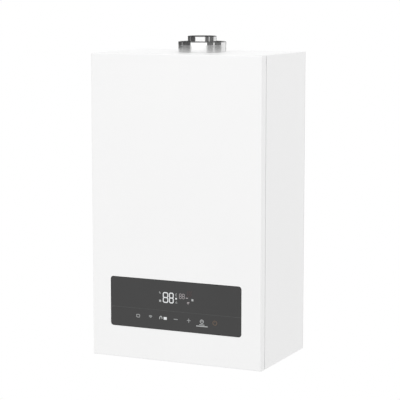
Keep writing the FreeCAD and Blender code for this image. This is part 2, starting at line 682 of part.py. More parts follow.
def add_circle(sketch, radius, across, up):
    centre = FreeCAD.Vector(amount(across), amount(up), 0)
    geometry = sketch.addGeometry(Part.Circle(centre, FreeCAD.Vector(0, 0, 1), amount(radius)))
    index = sketch.addConstraint(Sketcher.Constraint("Radius", geometry, amount(radius)))
    bind(sketch, f"Constraints[{index}]", radius)
    hold_point(sketch, geometry, 3, across, up)


def extrude(owner, kind, name, sketch, length, sides="One side", reverse=False):
    feature = owner.newObject(f"PartDesign::{kind}", name)
    feature.Profile = sketch
    feature.SideType = sides
    feature.Reversed = reverse
    bind(feature, "Length", length)
    return feature


def revolve(owner, name, sketch):
    feature = owner.newObject("PartDesign::Revolution", name)
    feature.Profile = sketch
    feature.ReferenceAxis = (sketch, ["V_Axis"])
    feature.Angle = 360
    return feature


def turned(name, axis, at, corners):
    owner = new_body(name)
    revolve(owner, f"{name}_turning", outline(owner, f"{name}_profile", "XZ_Plane", corners))
    put(owner, axis, at)
    return owner


def polar(owner, name, feature, count):
    pattern = owner.newObject("PartDesign::PolarPattern", name)
    pattern.Originals = [feature]
    pattern.Axis = (origin_of(owner, "Z_Axis"), [""])
    pattern.Angle = 360
    pattern.Occurrences = count
    owner.Tip = pattern
    return pattern


def linear(owner, name, feature, role, count, pitch):
    pattern = owner.newObject("PartDesign::LinearPattern", name)
    pattern.Originals = [feature]
    pattern.Direction = (origin_of(owner, role), [""])
    pattern.Mode = "Spacing"
    bind(pattern, "Offset", pitch)
    pattern.Occurrences = count
    owner.Tip = pattern
    return pattern


def edges_where(shape, test):
    return [f"Edge{index}" for index, edge in enumerate(shape.Edges, start=1) if test(edge.BoundBox)]


def along_y(box):
    return box.XLength + box.ZLength < box.YLength


def blend_edges(owner, kind, name, base, names, prop, size):
    feature = owner.newObject(f"PartDesign::{kind}", name)
    feature.Base = (base, names)
    bind(feature, prop, size)
    doc.recompute()
    return feature


def bladed_wheel(name, axis, at, corners, blade, count):
    inner, outer, thick, low, high = blade
    owner = turned(f"{name}_hub", axis, at, corners)
    sketch = oblong(owner, f"{name}_blade", "XZ_Plane", (inner, outer), (low, high))
    first = extrude(owner, "Pad", f"{name}_first_blade", sketch, thick, "Symmetric")
    polar(owner, f"{name}_blades", first, count)
    return owner


def fluted_knob(name, axis, at, radius, height, bore, bore_depth):
    corners = [(bore, "0"), (radius, "0"), (radius, height), ("0", height), ("0", bore_depth),
               (bore, bore_depth)]
    owner = turned(name, axis, at, corners)
    sketch = new_sketch(owner, f"{name}_flute", "XY_Plane")
    add_circle(sketch, "knob_flute", radius, "0")
    flute = extrude(owner, "Pocket", f"{name}_first_flute", sketch, height, reverse=True)
    polar(owner, f"{name}_flutes", flute, KNOB_FLUTE_COUNT)
    return owner


# Pipes: straight runs joined by tangent arcs

def bent_wire(points, radius):
    edges = []
    start = points[0]
    for before, corner, after in zip(points, points[1:], points[2:]):
        back = (before - corner).normalize()
        on = (after - corner).normalize()
        middle = (back + on).normalize()
        reach = radius * middle.dot(on) / middle.cross(on).Length
        first = corner + back * reach
        last = corner + on * reach
        centre = corner + middle * (reach / middle.dot(on))
        crown = centre - middle * radius
        edges.append(Part.LineSegment(start, first).toShape())
        edges.append(Part.Arc(first, crown, last).toShape())
        start = last
    edges.append(Part.LineSegment(start, points[-1]).toShape())
    return Part.Wire(edges)


def swept(wire, radius):
    edge = wire.Edges[0]
    start = edge.valueAt(edge.FirstParameter)
    circle = Part.Circle(start, edge.tangentAt(edge.FirstParameter), radius)
    profile = Part.Wire([circle.toShape()])
    return wire.makePipeShell([profile], True, False)


def pipe(name, route, radius, bend, bore=None):
    points = [FreeCAD.Vector(*(amount(text) for text in place)) for place in route]
    wire = bent_wire(points, amount(bend))
    shape = swept(wire, amount(radius))
    if bore:
        shape = shape.cut(swept(wire, amount(bore)))
    item = doc.addObject("Part::Feature", name)
    item.Shape = shape
    item.Placement = FreeCAD.Placement()
    return item


# Casing

def make_rear_frame():
    plate = block("rear_plate", centred("half_width"), ("frame_front", "0"), ("0", "case_height"))
    fold = centred("(flange_inner - flange_gap)")
    deep = ("frame_front - flange_width", "frame_front")
    top = block("rear_top_fold", fold, deep, ("top_under - frame_sheet", "top_under"))
    low = block("rear_low_fold", fold, deep, ("plate_top", "plate_top + frame_sheet"))
    through = ("frame_front - overrun", "overrun")
    tools = []
    for side in ("-", ""):
        middle = f"{side}slot_spacing / 2"
        straight = "(slot_length / 2 - slot_width / 2)"
        tall = about("slot_level", "slot_width / 2")
        tools.append(block("slot_middle", about(middle, straight), through, tall))
        for end in ("-", "+"):
            centre = (f"{middle} {end} {straight}", "slot_level")
            tools.append(rod("slot_end", "slot_width / 2", "y", centre, through))
    for side in (1, -1):
        for level in casing_screw_levels():
            centre = (mirrored(side, "stud_side", "stud_side")[0], level)
            tools.append(rod("frame_screw_hole", "screw_radius + screw_play", "y", centre, through))
    keep(cut("rear_frame", fuse("rear_sheet", plate, top, low), *tools), "rear_frame")


def casing_screw_levels():
    return [f"casing_screw_margin + {step} * casing_screw_pitch" for step in range(3)]


def make_side_panel(side, name):
    rise = ("flange_rise", "case_height - flange_rise")
    folds = mirrored(side, "flange_inner", "side_inner")
    sheet_part = block(f"{name}_sheet", mirrored(side, "side_inner", "half_width"),
                       ("side_front", "frame_front"), ("0", "case_height"))
    front = block(f"{name}_front", folds, ("side_front", "side_front + casing_sheet"), rise)
    rear = block(f"{name}_rear", folds, ("frame_front - casing_sheet", "frame_front"), rise)
    across = mirrored(side, "stud_side", "stud_side")[0]
    tools = []
    for level in ("stud_margin", "stud_high"):
        span = ("side_front - overrun", "side_front + casing_sheet + overrun")
        tools.append(rod("grommet_hole", "grommet_radius + screw_play", "y", (across, level), span))
    for level in casing_screw_levels():
        span = ("frame_front - casing_sheet - overrun", "frame_front + overrun")
        tools.append(rod("flange_screw_hole", "screw_radius + screw_play", "y", (across, level), span))
    keep(cut(name, fuse(f"{name}_folded", sheet_part, front, rear), *tools), name)


def make_casing_screws():
    screws = []
    face = "frame_front - casing_sheet"
    for side in (1, -1):
        across = mirrored(side, "stud_side", "stud_side")[0]
        for level in casing_screw_levels():
            shank = rod("casing_shank", "screw_radius", "y", (across, level), (face, "-screw_recess"))
            head = rod("casing_head", "screw_head", "y", (across, level),
                       (f"{face} - screw_head_height", face))
            screws.append(fuse("casing_screw", shank, head))
    keep(group("casing_screws", *screws), "casing_screws")


def folded_tray(name, sheet_span, fold_span):
    deep = ("side_front", "frame_front")
    inner = ("side_front + casing_sheet + flange_gap", "frame_front - casing_sheet - flange_gap")
    plate = block(f"{name}_sheet", centred("side_inner"), deep, sheet_span)
    folds = [block(f"{name}_fold", mirrored(side, "side_inner - casing_sheet", "side_inner"), inner, fold_span)
             for side in (1, -1)]
    front = block(f"{name}_front_fold", centred("(flange_inner - flange_gap)"),
                  ("side_front", "side_front + casing_sheet"), fold_span)
    return fuse(f"{name}_folded", plate, front, *folds)


def make_top_panel():
    tray = folded_tray("top", ("top_under", "case_height"), ("top_under - flange_drop", "top_under"))
    hole = rod("flue_hole", "collar_neck + fit_gap", "z", ("0", "flue_y"),
               ("top_under - overrun", "case_height + overrun"))
    keep(cut("top_panel", tray, hole), "top_panel")


NIPPLES = (
    ("flow_x", "large_thread"),
    ("hot_x", "small_thread"),
    ("0", "large_thread"),
    ("cold_x", "small_thread"),
    ("return_x", "large_thread"),
)


def make_bottom_plate():
    tray = folded_tray("bottom", ("bottom_rise", "plate_top"), ("plate_top", "plate_top + flange_drop"))
    through = ("bottom_rise - overrun", "plate_top + overrun")
    tools = [rod("nipple_hole", f"{thread} - spigot_step + fit_gap", "z", (across, "nipple_y"), through)
             for across, thread in NIPPLES]
    tools.append(rod("fill_hole", "fill_stem + overrun", "z", ("fill_x", "fill_y"), through))
    tools.append(rod("gland_hole", "gland_radius + fit_gap", "z", ("gland_x", "-gland_wall"), through))
    for side in (-1, 0, 1):
        for row in range(VENT_COUNT):
            middle = f"{side} * 2 * vent_length"
            line = f"side_front + vent_inset + {row} * vent_pitch"
            tools.append(block("vent_slot", about(middle, "vent_length / 2"),
                               about(line, "vent_width / 2"), through))
    keep(cut("bottom_plate", tray, *tools), "bottom_plate")


def make_front_cover():
    owner = new_body("cover_tray")
    sketch = oblong(owner, "cover_face", "XZ_Plane", centred("half_width"), ("0", "case_height"))
    pad = extrude(owner, "Pad", "cover_block", sketch, "cover_return")
    doc.recompute()
    front = pad.Shape.BoundBox.YMin
    names = edges_where(pad.Shape, lambda box: abs(box.YMax - front) < amount("fit_gap"))
    bends = blend_edges(owner, "Fillet", "cover_bends", pad, names, "Radius", "cover_bend")
    open_faces = [f"Face{index}" for index, face in enumerate(bends.Shape.Faces, start=1)
                  if face.BoundBox.YMin > -amount("fit_gap")]
    shell = owner.newObject("PartDesign::Thickness", "cover_shell")
    shell.Base = (bends, open_faces)
    shell.Reversed = True
    bind(shell, "Value", "casing_sheet")
    doc.recompute()
    window = oblong(owner, "cover_window", "XZ_Plane", centred("(panel_half + window_gap)"),
                    ("panel_level - window_gap", "panel_top + window_gap"))
    opening = extrude(owner, "Pocket", "cover_opening", window, "cover_return + overrun", reverse=True)
    doc.recompute()
    half = amount("panel_half + window_gap")
    floor = amount("panel_level - window_gap")
    roof = amount("panel_top + window_gap")
    near = amount("fit_gap")

    def window_corner(box):
        on_side = min(abs(box.XMin - half), abs(box.XMin + half)) < near
        on_level = min(abs(box.ZMin - floor), abs(box.ZMin - roof)) < near
        return on_side and on_level and along_y(box)

    blend_edges(owner, "Fillet", "window_corners", opening, edges_where(opening.Shape, window_corner),
                "Radius", "panel_corner + window_gap")
    put(owner, "z", ("0", "cover_back", "0"))
    pieces = [owner]
    tools = []
    for side in (1, -1):
        across = mirrored(side, "stud_side", "stud_side")[0]
        pieces.append(block("cover_lip", mirrored(side, "flange_inner", "side_inner"),
                            ("cover_back - casing_sheet", "cover_back"),
                            ("flange_rise", "case_height - flange_rise")))
        for level in ("stud_margin", "stud_high"):
            tools.append(rod("stud_hole", "stud_radius + screw_play", "y", (across, level),
                             ("cover_back - casing_sheet - overrun", "cover_back + overrun")))
    keep(cut("front_cover", fuse("cover_with_lips", *pieces), *tools), "front_cover")


def make_cover_fixings():
    studs = []
    grommets = []
    lip = "cover_back - casing_sheet"
    for side in (1, -1):
        across = mirrored(side, "stud_side", "stud_side")[0]
        for level in ("stud_margin", "stud_high"):
            corners = [("0", "0"), ("stud_head", "0"), ("stud_head", "stud_head_height"),
                       ("stud_radius", "stud_head_height"),
                       ("stud_radius", "stud_head_height + casing_sheet + seam_gap + stud_reach - stud_radius / 2"),
                       ("stud_radius / 2", "stud_head_height + casing_sheet + seam_gap + stud_reach"),
                       ("0", "stud_head_height + casing_sheet + seam_gap + stud_reach")]
            studs.append(turned("cover_stud", "y", (across, f"{lip} - stud_head_height", level), corners))
            corners = [("grommet_bore", "0"), ("grommet_radius", "0"), ("grommet_radius", "casing_sheet"),
                       ("grommet_radius + grommet_collar", "casing_sheet"),
                       ("grommet_radius + grommet_collar", "casing_sheet + grommet_collar_height"),
                       ("grommet_radius", "casing_sheet + grommet_collar_height"),
                       ("grommet_radius", "stud_reach"), ("grommet_bore", "stud_reach")]
            grommets.append(turned("stud_grommet", "y", (across, "side_front", level), corners))
    keep(group("cover_studs", *studs), "cover_studs")
    keep(group("stud_grommets", *grommets), "stud_grommets")


# Touch panel and controls

def make_touch_glass():
    owner = new_body("glass_body")
    sketch = oblong(owner, "glass_face", "XZ_Plane", centred("panel_half"), ("panel_level", "panel_top"))
    pad = extrude(owner, "Pad", "glass_sheet", sketch, "glass_thick")
    doc.recompute()
    corners = blend_edges(owner, "Fillet", "glass_corners", pad, edges_where(pad.Shape, along_y),
                          "Radius", "panel_corner")
    front = corners.Shape.BoundBox.YMin
    rim = edges_where(corners.Shape, lambda box: abs(box.YMax - front) < amount("panel_bevel / 2"))
    blend_edges(owner, "Chamfer", "glass_bevel", corners, rim, "Size", "panel_bevel")
    put(owner, "z", ("0", "glass_back", "0"))
    level = "panel_level + crease_level"
    crease = block("glass_crease", centred("(panel_half + overrun)"),
                   ("glass_front - overrun", "glass_front + crease_depth"),
                   about(level, "crease_width / 2"))
    keep(cut("touch_glass", owner, crease), "touch_glass")


def board_posts(name, half, low, high, deep):
    return [rod(name, "post_radius", "y", (across, level), deep)
            for across in (f"{half} - post_inset", minus(f"{half} - post_inset"))
            for level in (f"{low} + post_inset", f"{high} - post_inset")]


def make_panel_carrier():
    body_part = block("carrier_block", centred("control_half"), ("glass_back", "carrier_back"),
                      ("control_low", "control_high"))
    room = block("carrier_room", centred("(control_half - carrier_wall)"),
                 ("carrier_face", "carrier_back + overrun"),
                 ("control_low + carrier_wall", "control_high - carrier_wall"))
    opening = block("display_opening", centred("(display_width / 2 + display_gap)"),
                    ("glass_back - overrun", "carrier_face + overrun"),
                    ("display_low - display_gap", "display_low + display_height + display_gap"))
    posts = board_posts("display_post_rod", "(control_half - board_margin)", "(control_low + board_margin)",
                        "(control_high - board_margin)", ("carrier_face", "display_face"))
    keep(fuse("panel_carrier", cut("carrier_shell", body_part, room, opening), *posts), "panel_carrier")


def make_display_board():
    board = block("display_sheet", centred("(control_half - board_margin)"),
                  ("display_face", "display_face + board_sheet"),
                  ("control_low + board_margin", "control_high - board_margin"))
    module = block("display_module", centred("display_width / 2"),
                   ("display_face - display_depth", "display_face"),
                   ("display_low", "display_low + display_height"))
    keep(fuse("display_board", board, module), "display_board")


def make_control_box():
    outer = block("control_block", centred("control_half"), ("carrier_back", "control_back"),
                  ("control_low", "control_high"))
    room = block("control_room", centred("(control_half - control_wall)"),
                 ("carrier_back - overrun", "control_back - control_wall"),
                 ("control_low + control_wall", "control_high - control_wall"))
    posts = board_posts("main_post_rod", "(control_half - board_margin)", "(control_low + board_margin)",
                        "(control_high - board_margin)", ("main_face", "control_back - control_wall"))
    keep(fuse("control_box", cut("control_shell", outer, room), *posts), "control_box")


def make_main_board():
    low = "control_low + board_margin"
    high = "control_high - board_margin"
    face = "main_face - board_sheet"
    board = block("main_sheet", centred("(control_half - board_margin)"), (face, "main_face"), (low, high))
    part_span = (f"{face} - part_height", face)
    corner = "(board_margin - control_half + post_inset * 2)"
    parts = [block("transformer", (corner, f"{corner} + transformer_size"), part_span,
                   (f"{high} - post_inset - transformer_size", f"{high} - post_inset"))]
    for step in range(RELAY_COUNT):
        low_x = f"{step} * relay_pitch"
        parts.append(block("relay", (low_x, f"{low_x} + relay_size"), part_span,
                           (f"{high} - post_inset - relay_size", f"{high} - post_inset")))
    parts.append(block("connector_row", centred("connector_width / 2"), part_span,
                       (f"{low} + post_inset", f"{low} + post_inset + connector_height")))
    keep(fuse("main_board", board, *parts), "main_board")


def side_bracket(side, inner, deep, level):
    plate = block("bracket_plate", mirrored(side, inner, "side_inner"), deep, (level, f"{level} + bracket_sheet"))
    fold = (f"{level} + bracket_sheet", f"{level} + bracket_fold")
    near = block("bracket_near", mirrored(side, inner, f"{inner} + bracket_sheet"), deep, fold)
    far = block("bracket_far", mirrored(side, "side_inner - bracket_sheet", "side_inner"), deep, fold)
    return fuse("side_bracket", plate, near, far)


def make_side_brackets():
    brackets = []
    for side in (1, -1):
        deep = ("control_back - bracket_inset - bracket_width", "control_back - bracket_inset")
        brackets.append(side_bracket(side, "control_half", deep, "control_low + bracket_rise"))
        for step in (0, 1):
            level = f"chamber_base + bracket_low + {step} * bracket_pitch"
            brackets.append(side_bracket(side, "chamber_half", about("flue_y", "bracket_width / 2"), level))
    keep(group("side_brackets", *brackets), "side_brackets")


def make_cable_gland():
    centre = ("gland_x", "-gland_wall")
    nut_low = "bottom_rise - gland_nut_height"
    nut = hexagon("gland_hexagon", "gland_nut", centre, (nut_low, "bottom_rise"))
    thread = rod("gland_thread", "gland_radius", "z", centre, ("bottom_rise", "plate_top + gland_inside"))
    lock = hexagon("gland_lock", "gland_nut", centre, ("plate_top", "plate_top + gland_inside"))
    dome = rod("gland_cap", "gland_radius", "z", centre, (f"{nut_low} - gland_dome", nut_low))
    hole = rod("gland_hole_tool", "gland_bore", "z", centre,
               (f"{nut_low} - gland_dome - overrun", "plate_top + gland_inside + overrun"))
    keep(cut("cable_gland", fuse("gland_solid", nut, thread, lock, dome), hole), "cable_gland")


# Sealed chamber

def make_sealed_chamber():
    outer = block("chamber_block", centred("chamber_half"), ("chamber_front", "chamber_back"),
                  ("chamber_base", "top_under"))
    room = block("chamber_space", centred("chamber_inner"),
                 ("chamber_front + chamber_sheet", "chamber_back - chamber_sheet"),
                 ("chamber_floor", "top_under + overrun"))
    mouth = block("chamber_mouth", centred("(chamber_half - door_lip)"),
                  ("chamber_front - overrun", "chamber_front + chamber_sheet + overrun"),
                  ("chamber_base + door_lip", "top_under - door_lip"))
    through = ("chamber_base - overrun", "chamber_floor + overrun")
    first_y, last_y = tube_places()
    holes = [
        rod("return_hole", "tube_radius + fit_gap", "z", ("pipe_x", last_y), through),
        rod("flow_hole", "tube_radius + fit_gap", "z", ("-pipe_x", first_y), through),
        rod("gas_hole", "gas_pipe_radius + fit_gap", "z", ("0", "manifold_front"), through),
        rod("fan_lead_hole", "lead_radius + fit_gap", "z", ("fan_lead_x", "lead_y"), through),
        rod("spark_lead_hole", "lead_radius + fit_gap", "z", ("-spark_side", "lead_y"), through),
    ]
    span = ("chamber_front - overrun", "chamber_front + chamber_sheet + overrun")
    holes += [rod("lip_screw_hole", "screw_radius + screw_play", "y", centre, span)
              for centre in chamber_screw_places()]
    keep(cut("sealed_chamber", outer, room, mouth, *holes), "sealed_chamber")


def chamber_screw_places():
    edge = "(chamber_half - door_lip / 2)"
    low = "(chamber_base + door_lip / 2)"
    high = "(top_under - door_lip / 2)"
    places = [(across, f"{low} + ({high} - {low}) * {step} / 3")
              for across in (edge, minus(edge)) for step in range(4)]
    return places + [("0", low), ("0", high)]


def make_chamber_cover():
    plate = block("door_sheet", centred("chamber_half"), ("door_face", "door_face + chamber_sheet"),
                  ("chamber_base", "top_under"))
    inset = "(chamber_half - pan_inset)"
    field = block("door_field", centred(inset), ("pan_face", "door_face"),
                  ("chamber_base + pan_inset", "top_under - pan_inset"))
    hollow = block("door_hollow", centred(f"({inset} - chamber_sheet)"),
                   ("pan_face + chamber_sheet", "door_face + chamber_sheet + overrun"),
                   ("chamber_base + pan_inset + chamber_sheet", "top_under - pan_inset - chamber_sheet"))
    level = "chamber_base + sight_level"
    sight = rod("sight_hole", "sight_radius", "y", ("0", level),
                ("pan_face - overrun", "pan_face + chamber_sheet + overrun"))
    span = ("door_face - overrun", "door_face + chamber_sheet + overrun")
    holes = [rod("door_screw_hole", "screw_radius + screw_play", "y", centre, span)
             for centre in chamber_screw_places()]
    pan = cut("chamber_pan", fuse("door_solid", plate, field), hollow, sight, *holes)
    seat = ring("sight_seat", "sight_radius + sight_edge + fit_gap", "sight_radius + sight_edge * 2", "y",
                ("0", level), ("pan_face - sight_thick", "pan_face"))
    keep(fuse("chamber_cover", pan, seat), "chamber_cover")
    glass = rod("sight_disc", "sight_radius + sight_edge", "y", ("0", level),
                ("pan_face - sight_thick", "pan_face"))
    keep(glass, "sight_glass")


def make_chamber_seal():
    outer = block("seal_block", centred("chamber_half"), ("chamber_front - seal_thick", "chamber_front"),
                  ("chamber_base", "top_under"))
    mouth = block("seal_mouth", centred("(chamber_half - door_lip)"),
                  ("chamber_front - seal_thick - overrun", "chamber_front + overrun"),
                  ("chamber_base + door_lip", "top_under - door_lip"))
    span = ("chamber_front - seal_thick - overrun", "chamber_front + overrun")
    holes = [rod("seal_screw_hole", "screw_radius + screw_play", "y", centre, span)
             for centre in chamber_screw_places()]
    keep(cut("chamber_seal", outer, mouth, *holes), "chamber_seal")


def make_chamber_screws():
    screws = []
    for centre in chamber_screw_places():
        shank = rod("chamber_shank", "screw_radius", "y", centre,
                    ("door_face", "chamber_front + chamber_sheet + chamber_screw_grip"))
        head = rod("chamber_head", "screw_head", "y", centre, ("door_face - screw_head_height", "door_face"))
        screws.append(fuse("chamber_screw", shank, head))
    keep(group("chamber_screws", *screws), "chamber_screws")


# Burner and heat exchanger

def injector_places():
    first = f"-blade_pitch * {(BLADE_COUNT - 1) / 2}"
    return [f"{first} + {step} * blade_pitch" for step in range(BLADE_COUNT)]


def make_burner_tray():
    inner = "(stack_half - stack_sheet)"
    front = "(stack_front + stack_sheet)"
    back = "(stack_back - stack_sheet)"
    outer = block("tray_block", centred("stack_half"), ("stack_front", "stack_back"),
                  ("chamber_floor", "burner_top"))
    room = block("tray_room", centred(inner), (front, back), ("chamber_floor - overrun", "burner_top + overrun"))
    air = block("tray_air", centred(inner), ("stack_front - overrun", "stack_back + overrun"),
                ("chamber_floor - overrun", "burner_base"))
    holes = [rod("injector_hole", "injector_radius + fit_gap", "y", (across, "injector_height"),
                 ("stack_front - overrun", f"{front} + overrun")) for across in injector_places()]
    tall = ("burner_base", "burner_base + ledge_height")
    ledges = [block("front_ledge", centred(inner), (front, f"{front} + ledge_width"), tall),
              block("back_ledge", centred(inner), (f"{back} - ledge_width", back), tall)]
    keep(fuse("burner_tray", cut("tray_shell", outer, room, air, *holes), *ledges), "burner_tray")


def make_burner_blades():
    owner = new_body("blade_row")
    first = injector_places()[0]
    front = "stack_front + stack_sheet + blade_gap + injector_reach"
    back = "stack_back - stack_sheet - blade_gap"
    sketch = oblong(owner, "blade_plan", "XY_Plane", about(first, "blade_width / 2"), (front, back))
    blade = extrude(owner, "Pad", "blade_block", sketch, "blade_height")
    doc.recompute()
    linear(owner, "blade_copies", blade, "X_Axis", BLADE_COUNT, "blade_pitch")
    doc.recompute()
    level = ("blade_height - flame_slot_depth", "blade_height + overrun")
    near = "stack_front + stack_sheet + ledge_width"
    slot = oblong(owner, "flame_slot_side", "YZ_Plane", (near, f"{near} + flame_slot"), level)
    opening = extrude(owner, "Pocket", "flame_slot_cut", slot, "stack_width", "Symmetric")
    doc.recompute()
    linear(owner, "flame_slots", opening, "Y_Axis", FLAME_SLOT_COUNT, "flame_slot_pitch")
    put(owner, "z", ("0", "0", "burner_base + ledge_height"))
    keep(owner, "burner_blades")


def make_gas_manifold():
    half = f"(blade_pitch * {(BLADE_COUNT - 1) / 2} + manifold_end)"
    tube = rod("manifold_tube", "manifold_radius", "x", ("manifold_front", "injector_height"), centred(half))
    stub = rod("manifold_inlet", "gas_pipe_radius", "z", ("0", "manifold_front"),
               ("injector_height - manifold_stub", "injector_height"))
    jets = [rod("injector", "injector_radius", "y", (across, "injector_height"),
                ("manifold_front", "stack_front + stack_sheet + injector_reach"))
            for across in injector_places()]
    keep(fuse("gas_manifold", tube, stub, *jets), "gas_manifold")


def electrode_places():
    return ["-electrode_side", "-electrode_side + electrode_pitch", "electrode_side"]


def make_electrodes():
    items = []
    for across in electrode_places():
        centre = (across, "electrode_height")
        ceramic = rod("electrode_ceramic", "electrode_radius", "y", centre,
                      ("stack_front - electrode_out", "stack_front + electrode_in"))
        wire = rod("electrode_tip_wire", "electrode_wire", "y", centre,
                   ("stack_front + electrode_in", "stack_front + electrode_in + electrode_tip"))
        items.append(fuse("electrode", ceramic, wire))
    keep(group("electrodes", *items), "electrodes")


def tube_places():
    first = f"stack_middle - {(TUBE_COUNT - 1) / 2} * tube_pitch"
    last = f"stack_middle + {(TUBE_COUNT - 1) / 2} * tube_pitch"
    return first, last


def tube_line(step):
    return f"stack_middle + {step - (TUBE_COUNT - 1) / 2} * tube_pitch"


def make_combustion_box():
    inner = "(stack_half - stack_sheet)"
    front = "(stack_front + stack_sheet)"
    outer = block("firebox_block", centred("stack_half"), ("stack_front", "stack_back"),
                  ("burner_top", "exchanger_top"))
    room = block("firebox_room", centred(inner), (front, "stack_back - stack_sheet"),
                 ("burner_top - overrun", "exchanger_top + overrun"))
    tools = [rod("tube_hole", "tube_radius + fit_gap", "x", (tube_line(step), "tube_level"),
                 centred("(stack_half + overrun)")) for step in range(TUBE_COUNT)]
    tools += [rod("electrode_hole", "electrode_radius + fit_gap", "y", (across, "electrode_height"),
                  ("stack_front - overrun", f"{front} + overrun")) for across in electrode_places()]
    keep(cut("combustion_box", outer, room, *tools), "combustion_box")


def make_insulation():
    tall = ("burner_top", "firebox_top")
    side = "(stack_half - stack_sheet)"
    front = "(stack_front + stack_sheet)"
    back = "(stack_back - stack_sheet)"
    boards = [block("side_board", mirrored(turn, f"{side} - board_thick", side), (front, back), tall)
              for turn in (1, -1)]
    across = centred(f"({side} - board_thick)")
    boards.append(block("back_board", across, (f"{back} - board_thick", back), tall))
    plain = block("front_board_plain", across, (front, f"{front} + board_thick"), tall)
    holes = [rod("board_hole", "electrode_radius + fit_gap", "y", (place, "electrode_height"),
                 (f"{front} - overrun", f"{front} + board_thick + overrun")) for place in electrode_places()]
    boards.append(cut("front_board", plain, *holes))
    keep(group("insulation_boards", *boards), "insulation_boards")


def make_exchanger_fins():
    owner = new_body("fin_row")
    front = "stack_front + stack_sheet + fit_gap"
    back = "stack_back - stack_sheet - fit_gap"
    sketch = oblong(owner, "fin_face", "YZ_Plane", (front, back),
                    ("firebox_top + fin_margin", "exchanger_top - fin_margin"))
    for step in range(TUBE_COUNT):
        add_circle(sketch, "tube_radius + fit_gap", tube_line(step), "tube_level")
    fin = extrude(owner, "Pad", "fin_sheet_pad", sketch, "fin_sheet")
    doc.recompute()
    linear(owner, "fin_copies", fin, "X_Axis", FIN_COUNT, "fin_pitch")
    put(owner, "z", (f"-fin_pitch * {(FIN_COUNT - 1) / 2} - fin_sheet / 2", "0", "0"))
    keep(owner, "exchanger_fins")


def make_exchanger_tubes():
    level = amount("tube_level")
    reach = amount("tube_reach")
    radius = amount("tube_pitch / 2")
    lines = [amount(tube_line(step)) for step in range(TUBE_COUNT)]
    edges = []
    side = -1
    for step, line in enumerate(lines):
        start = FreeCAD.Vector(side * reach, line, level)
        end = FreeCAD.Vector(-side * reach, line, level)
        edges.append(Part.LineSegment(start, end).toShape())
        if step + 1 < TUBE_COUNT:
            crown = FreeCAD.Vector(-side * (reach + radius), line + radius, level)
            beyond = FreeCAD.Vector(-side * reach, lines[step + 1], level)
            edges.append(Part.Arc(end, crown, beyond).toShape())
        side = -side
    item = doc.addObject("Part::Feature", "exchanger_tubes")
    item.Shape = swept(Part.Wire(edges), amount("tube_radius"))
    item.Placement = FreeCAD.Placement()
    keep(item, "exchanger_tubes")


def make_flue_hood():
    owner = new_body("hood_shell")
    outer = [("stack_front", "exchanger_top"), ("stack_back", "exchanger_top"), ("stack_back", "hood_top"),
             ("volute_back", "hood_top"), ("volute_back", "hood_slope"),
             ("stack_front", "exchanger_top + hood_lip")]
    inner = [("stack_front + hood_sheet", "exchanger_top"), ("stack_back - hood_sheet", "exchanger_top"),
             ("stack_back - hood_sheet", "hood_top - hood_sheet"),
             ("volute_back + hood_sheet", "hood_top - hood_sheet"),
             ("volute_back + hood_sheet", "hood_slope - hood_sheet"),
             ("stack_front + hood_sheet", "exchanger_top + hood_lip - hood_sheet")]
    extrude(owner, "Pad", "hood_block", outline(owner, "hood_side", "YZ_Plane", outer), "stack_width", "Symmetric")
    extrude(owner, "Pocket", "hood_room", outline(owner, "hood_inside", "YZ_Plane", inner),
            "stack_width - 2 * hood_sheet", "Symmetric")
    mouth = rod("hood_mouth", "inlet_radius", "y", ("fan_side", "fan_level"),
                ("volute_back - overrun", "volute_back + hood_sheet + overrun"))
    keep(cut("flue_hood", owner, mouth), "flue_hood")


# Fan, flue and air pressure switch

def make_fan_volute():
    deep = ("volute_front", "volute_back")
    room = ("volute_front + fan_sheet", "volute_back - fan_sheet")
    centre = ("fan_side", "fan_level")
    outer = [rod("volute_drum", "volute_radius", "y", centre, deep),
             block("volute_duct", centred("outlet_half"), deep, ("fan_level", "outlet_level"))]
    inner = [rod("volute_drum_room", "volute_radius - fan_sheet", "y", centre, room),
             block("volute_duct_room", centred("(outlet_half - fan_sheet)"), room,
                   ("fan_level", "outlet_level + overrun"))]
    shell = cut("volute_shell", fuse("volute_solid", *outer), *inner,
                rod("volute_inlet", "inlet_radius", "y", centre,
                    ("volute_back - fan_sheet - overrun", "volute_back + overrun")),
                rod("volute_shaft_hole", "shaft_hole", "y", centre,
                    ("volute_front - overrun", "volute_front + fan_sheet + overrun")))
    flue = ("0", "flue_y")
    plate = block("outlet_sheet", centred("outlet_plate"), about("flue_y", "outlet_plate"),
                  ("outlet_level", "socket_base"))
    drilled = cut("outlet_flange", plate, rod("outlet_hole_tool", "outlet_hole", "z", flue,
                                              ("outlet_level - overrun", "socket_base + overrun")))
    socket = ring("outlet_socket", "socket_bore", "socket_bore + fan_sheet", "z", flue,
                  ("socket_base", "socket_top"))
    taps = [rod("pressure_tap", "port_radius", "x", ("flue_y", level),
                ("-outlet_half - port_length", "-outlet_half")) for level in tap_levels()]
    keep(fuse("fan_volute", shell, drilled, socket, *taps), "fan_volute")


def tap_levels():
    return ["tap_level", "tap_level + tap_pitch"]


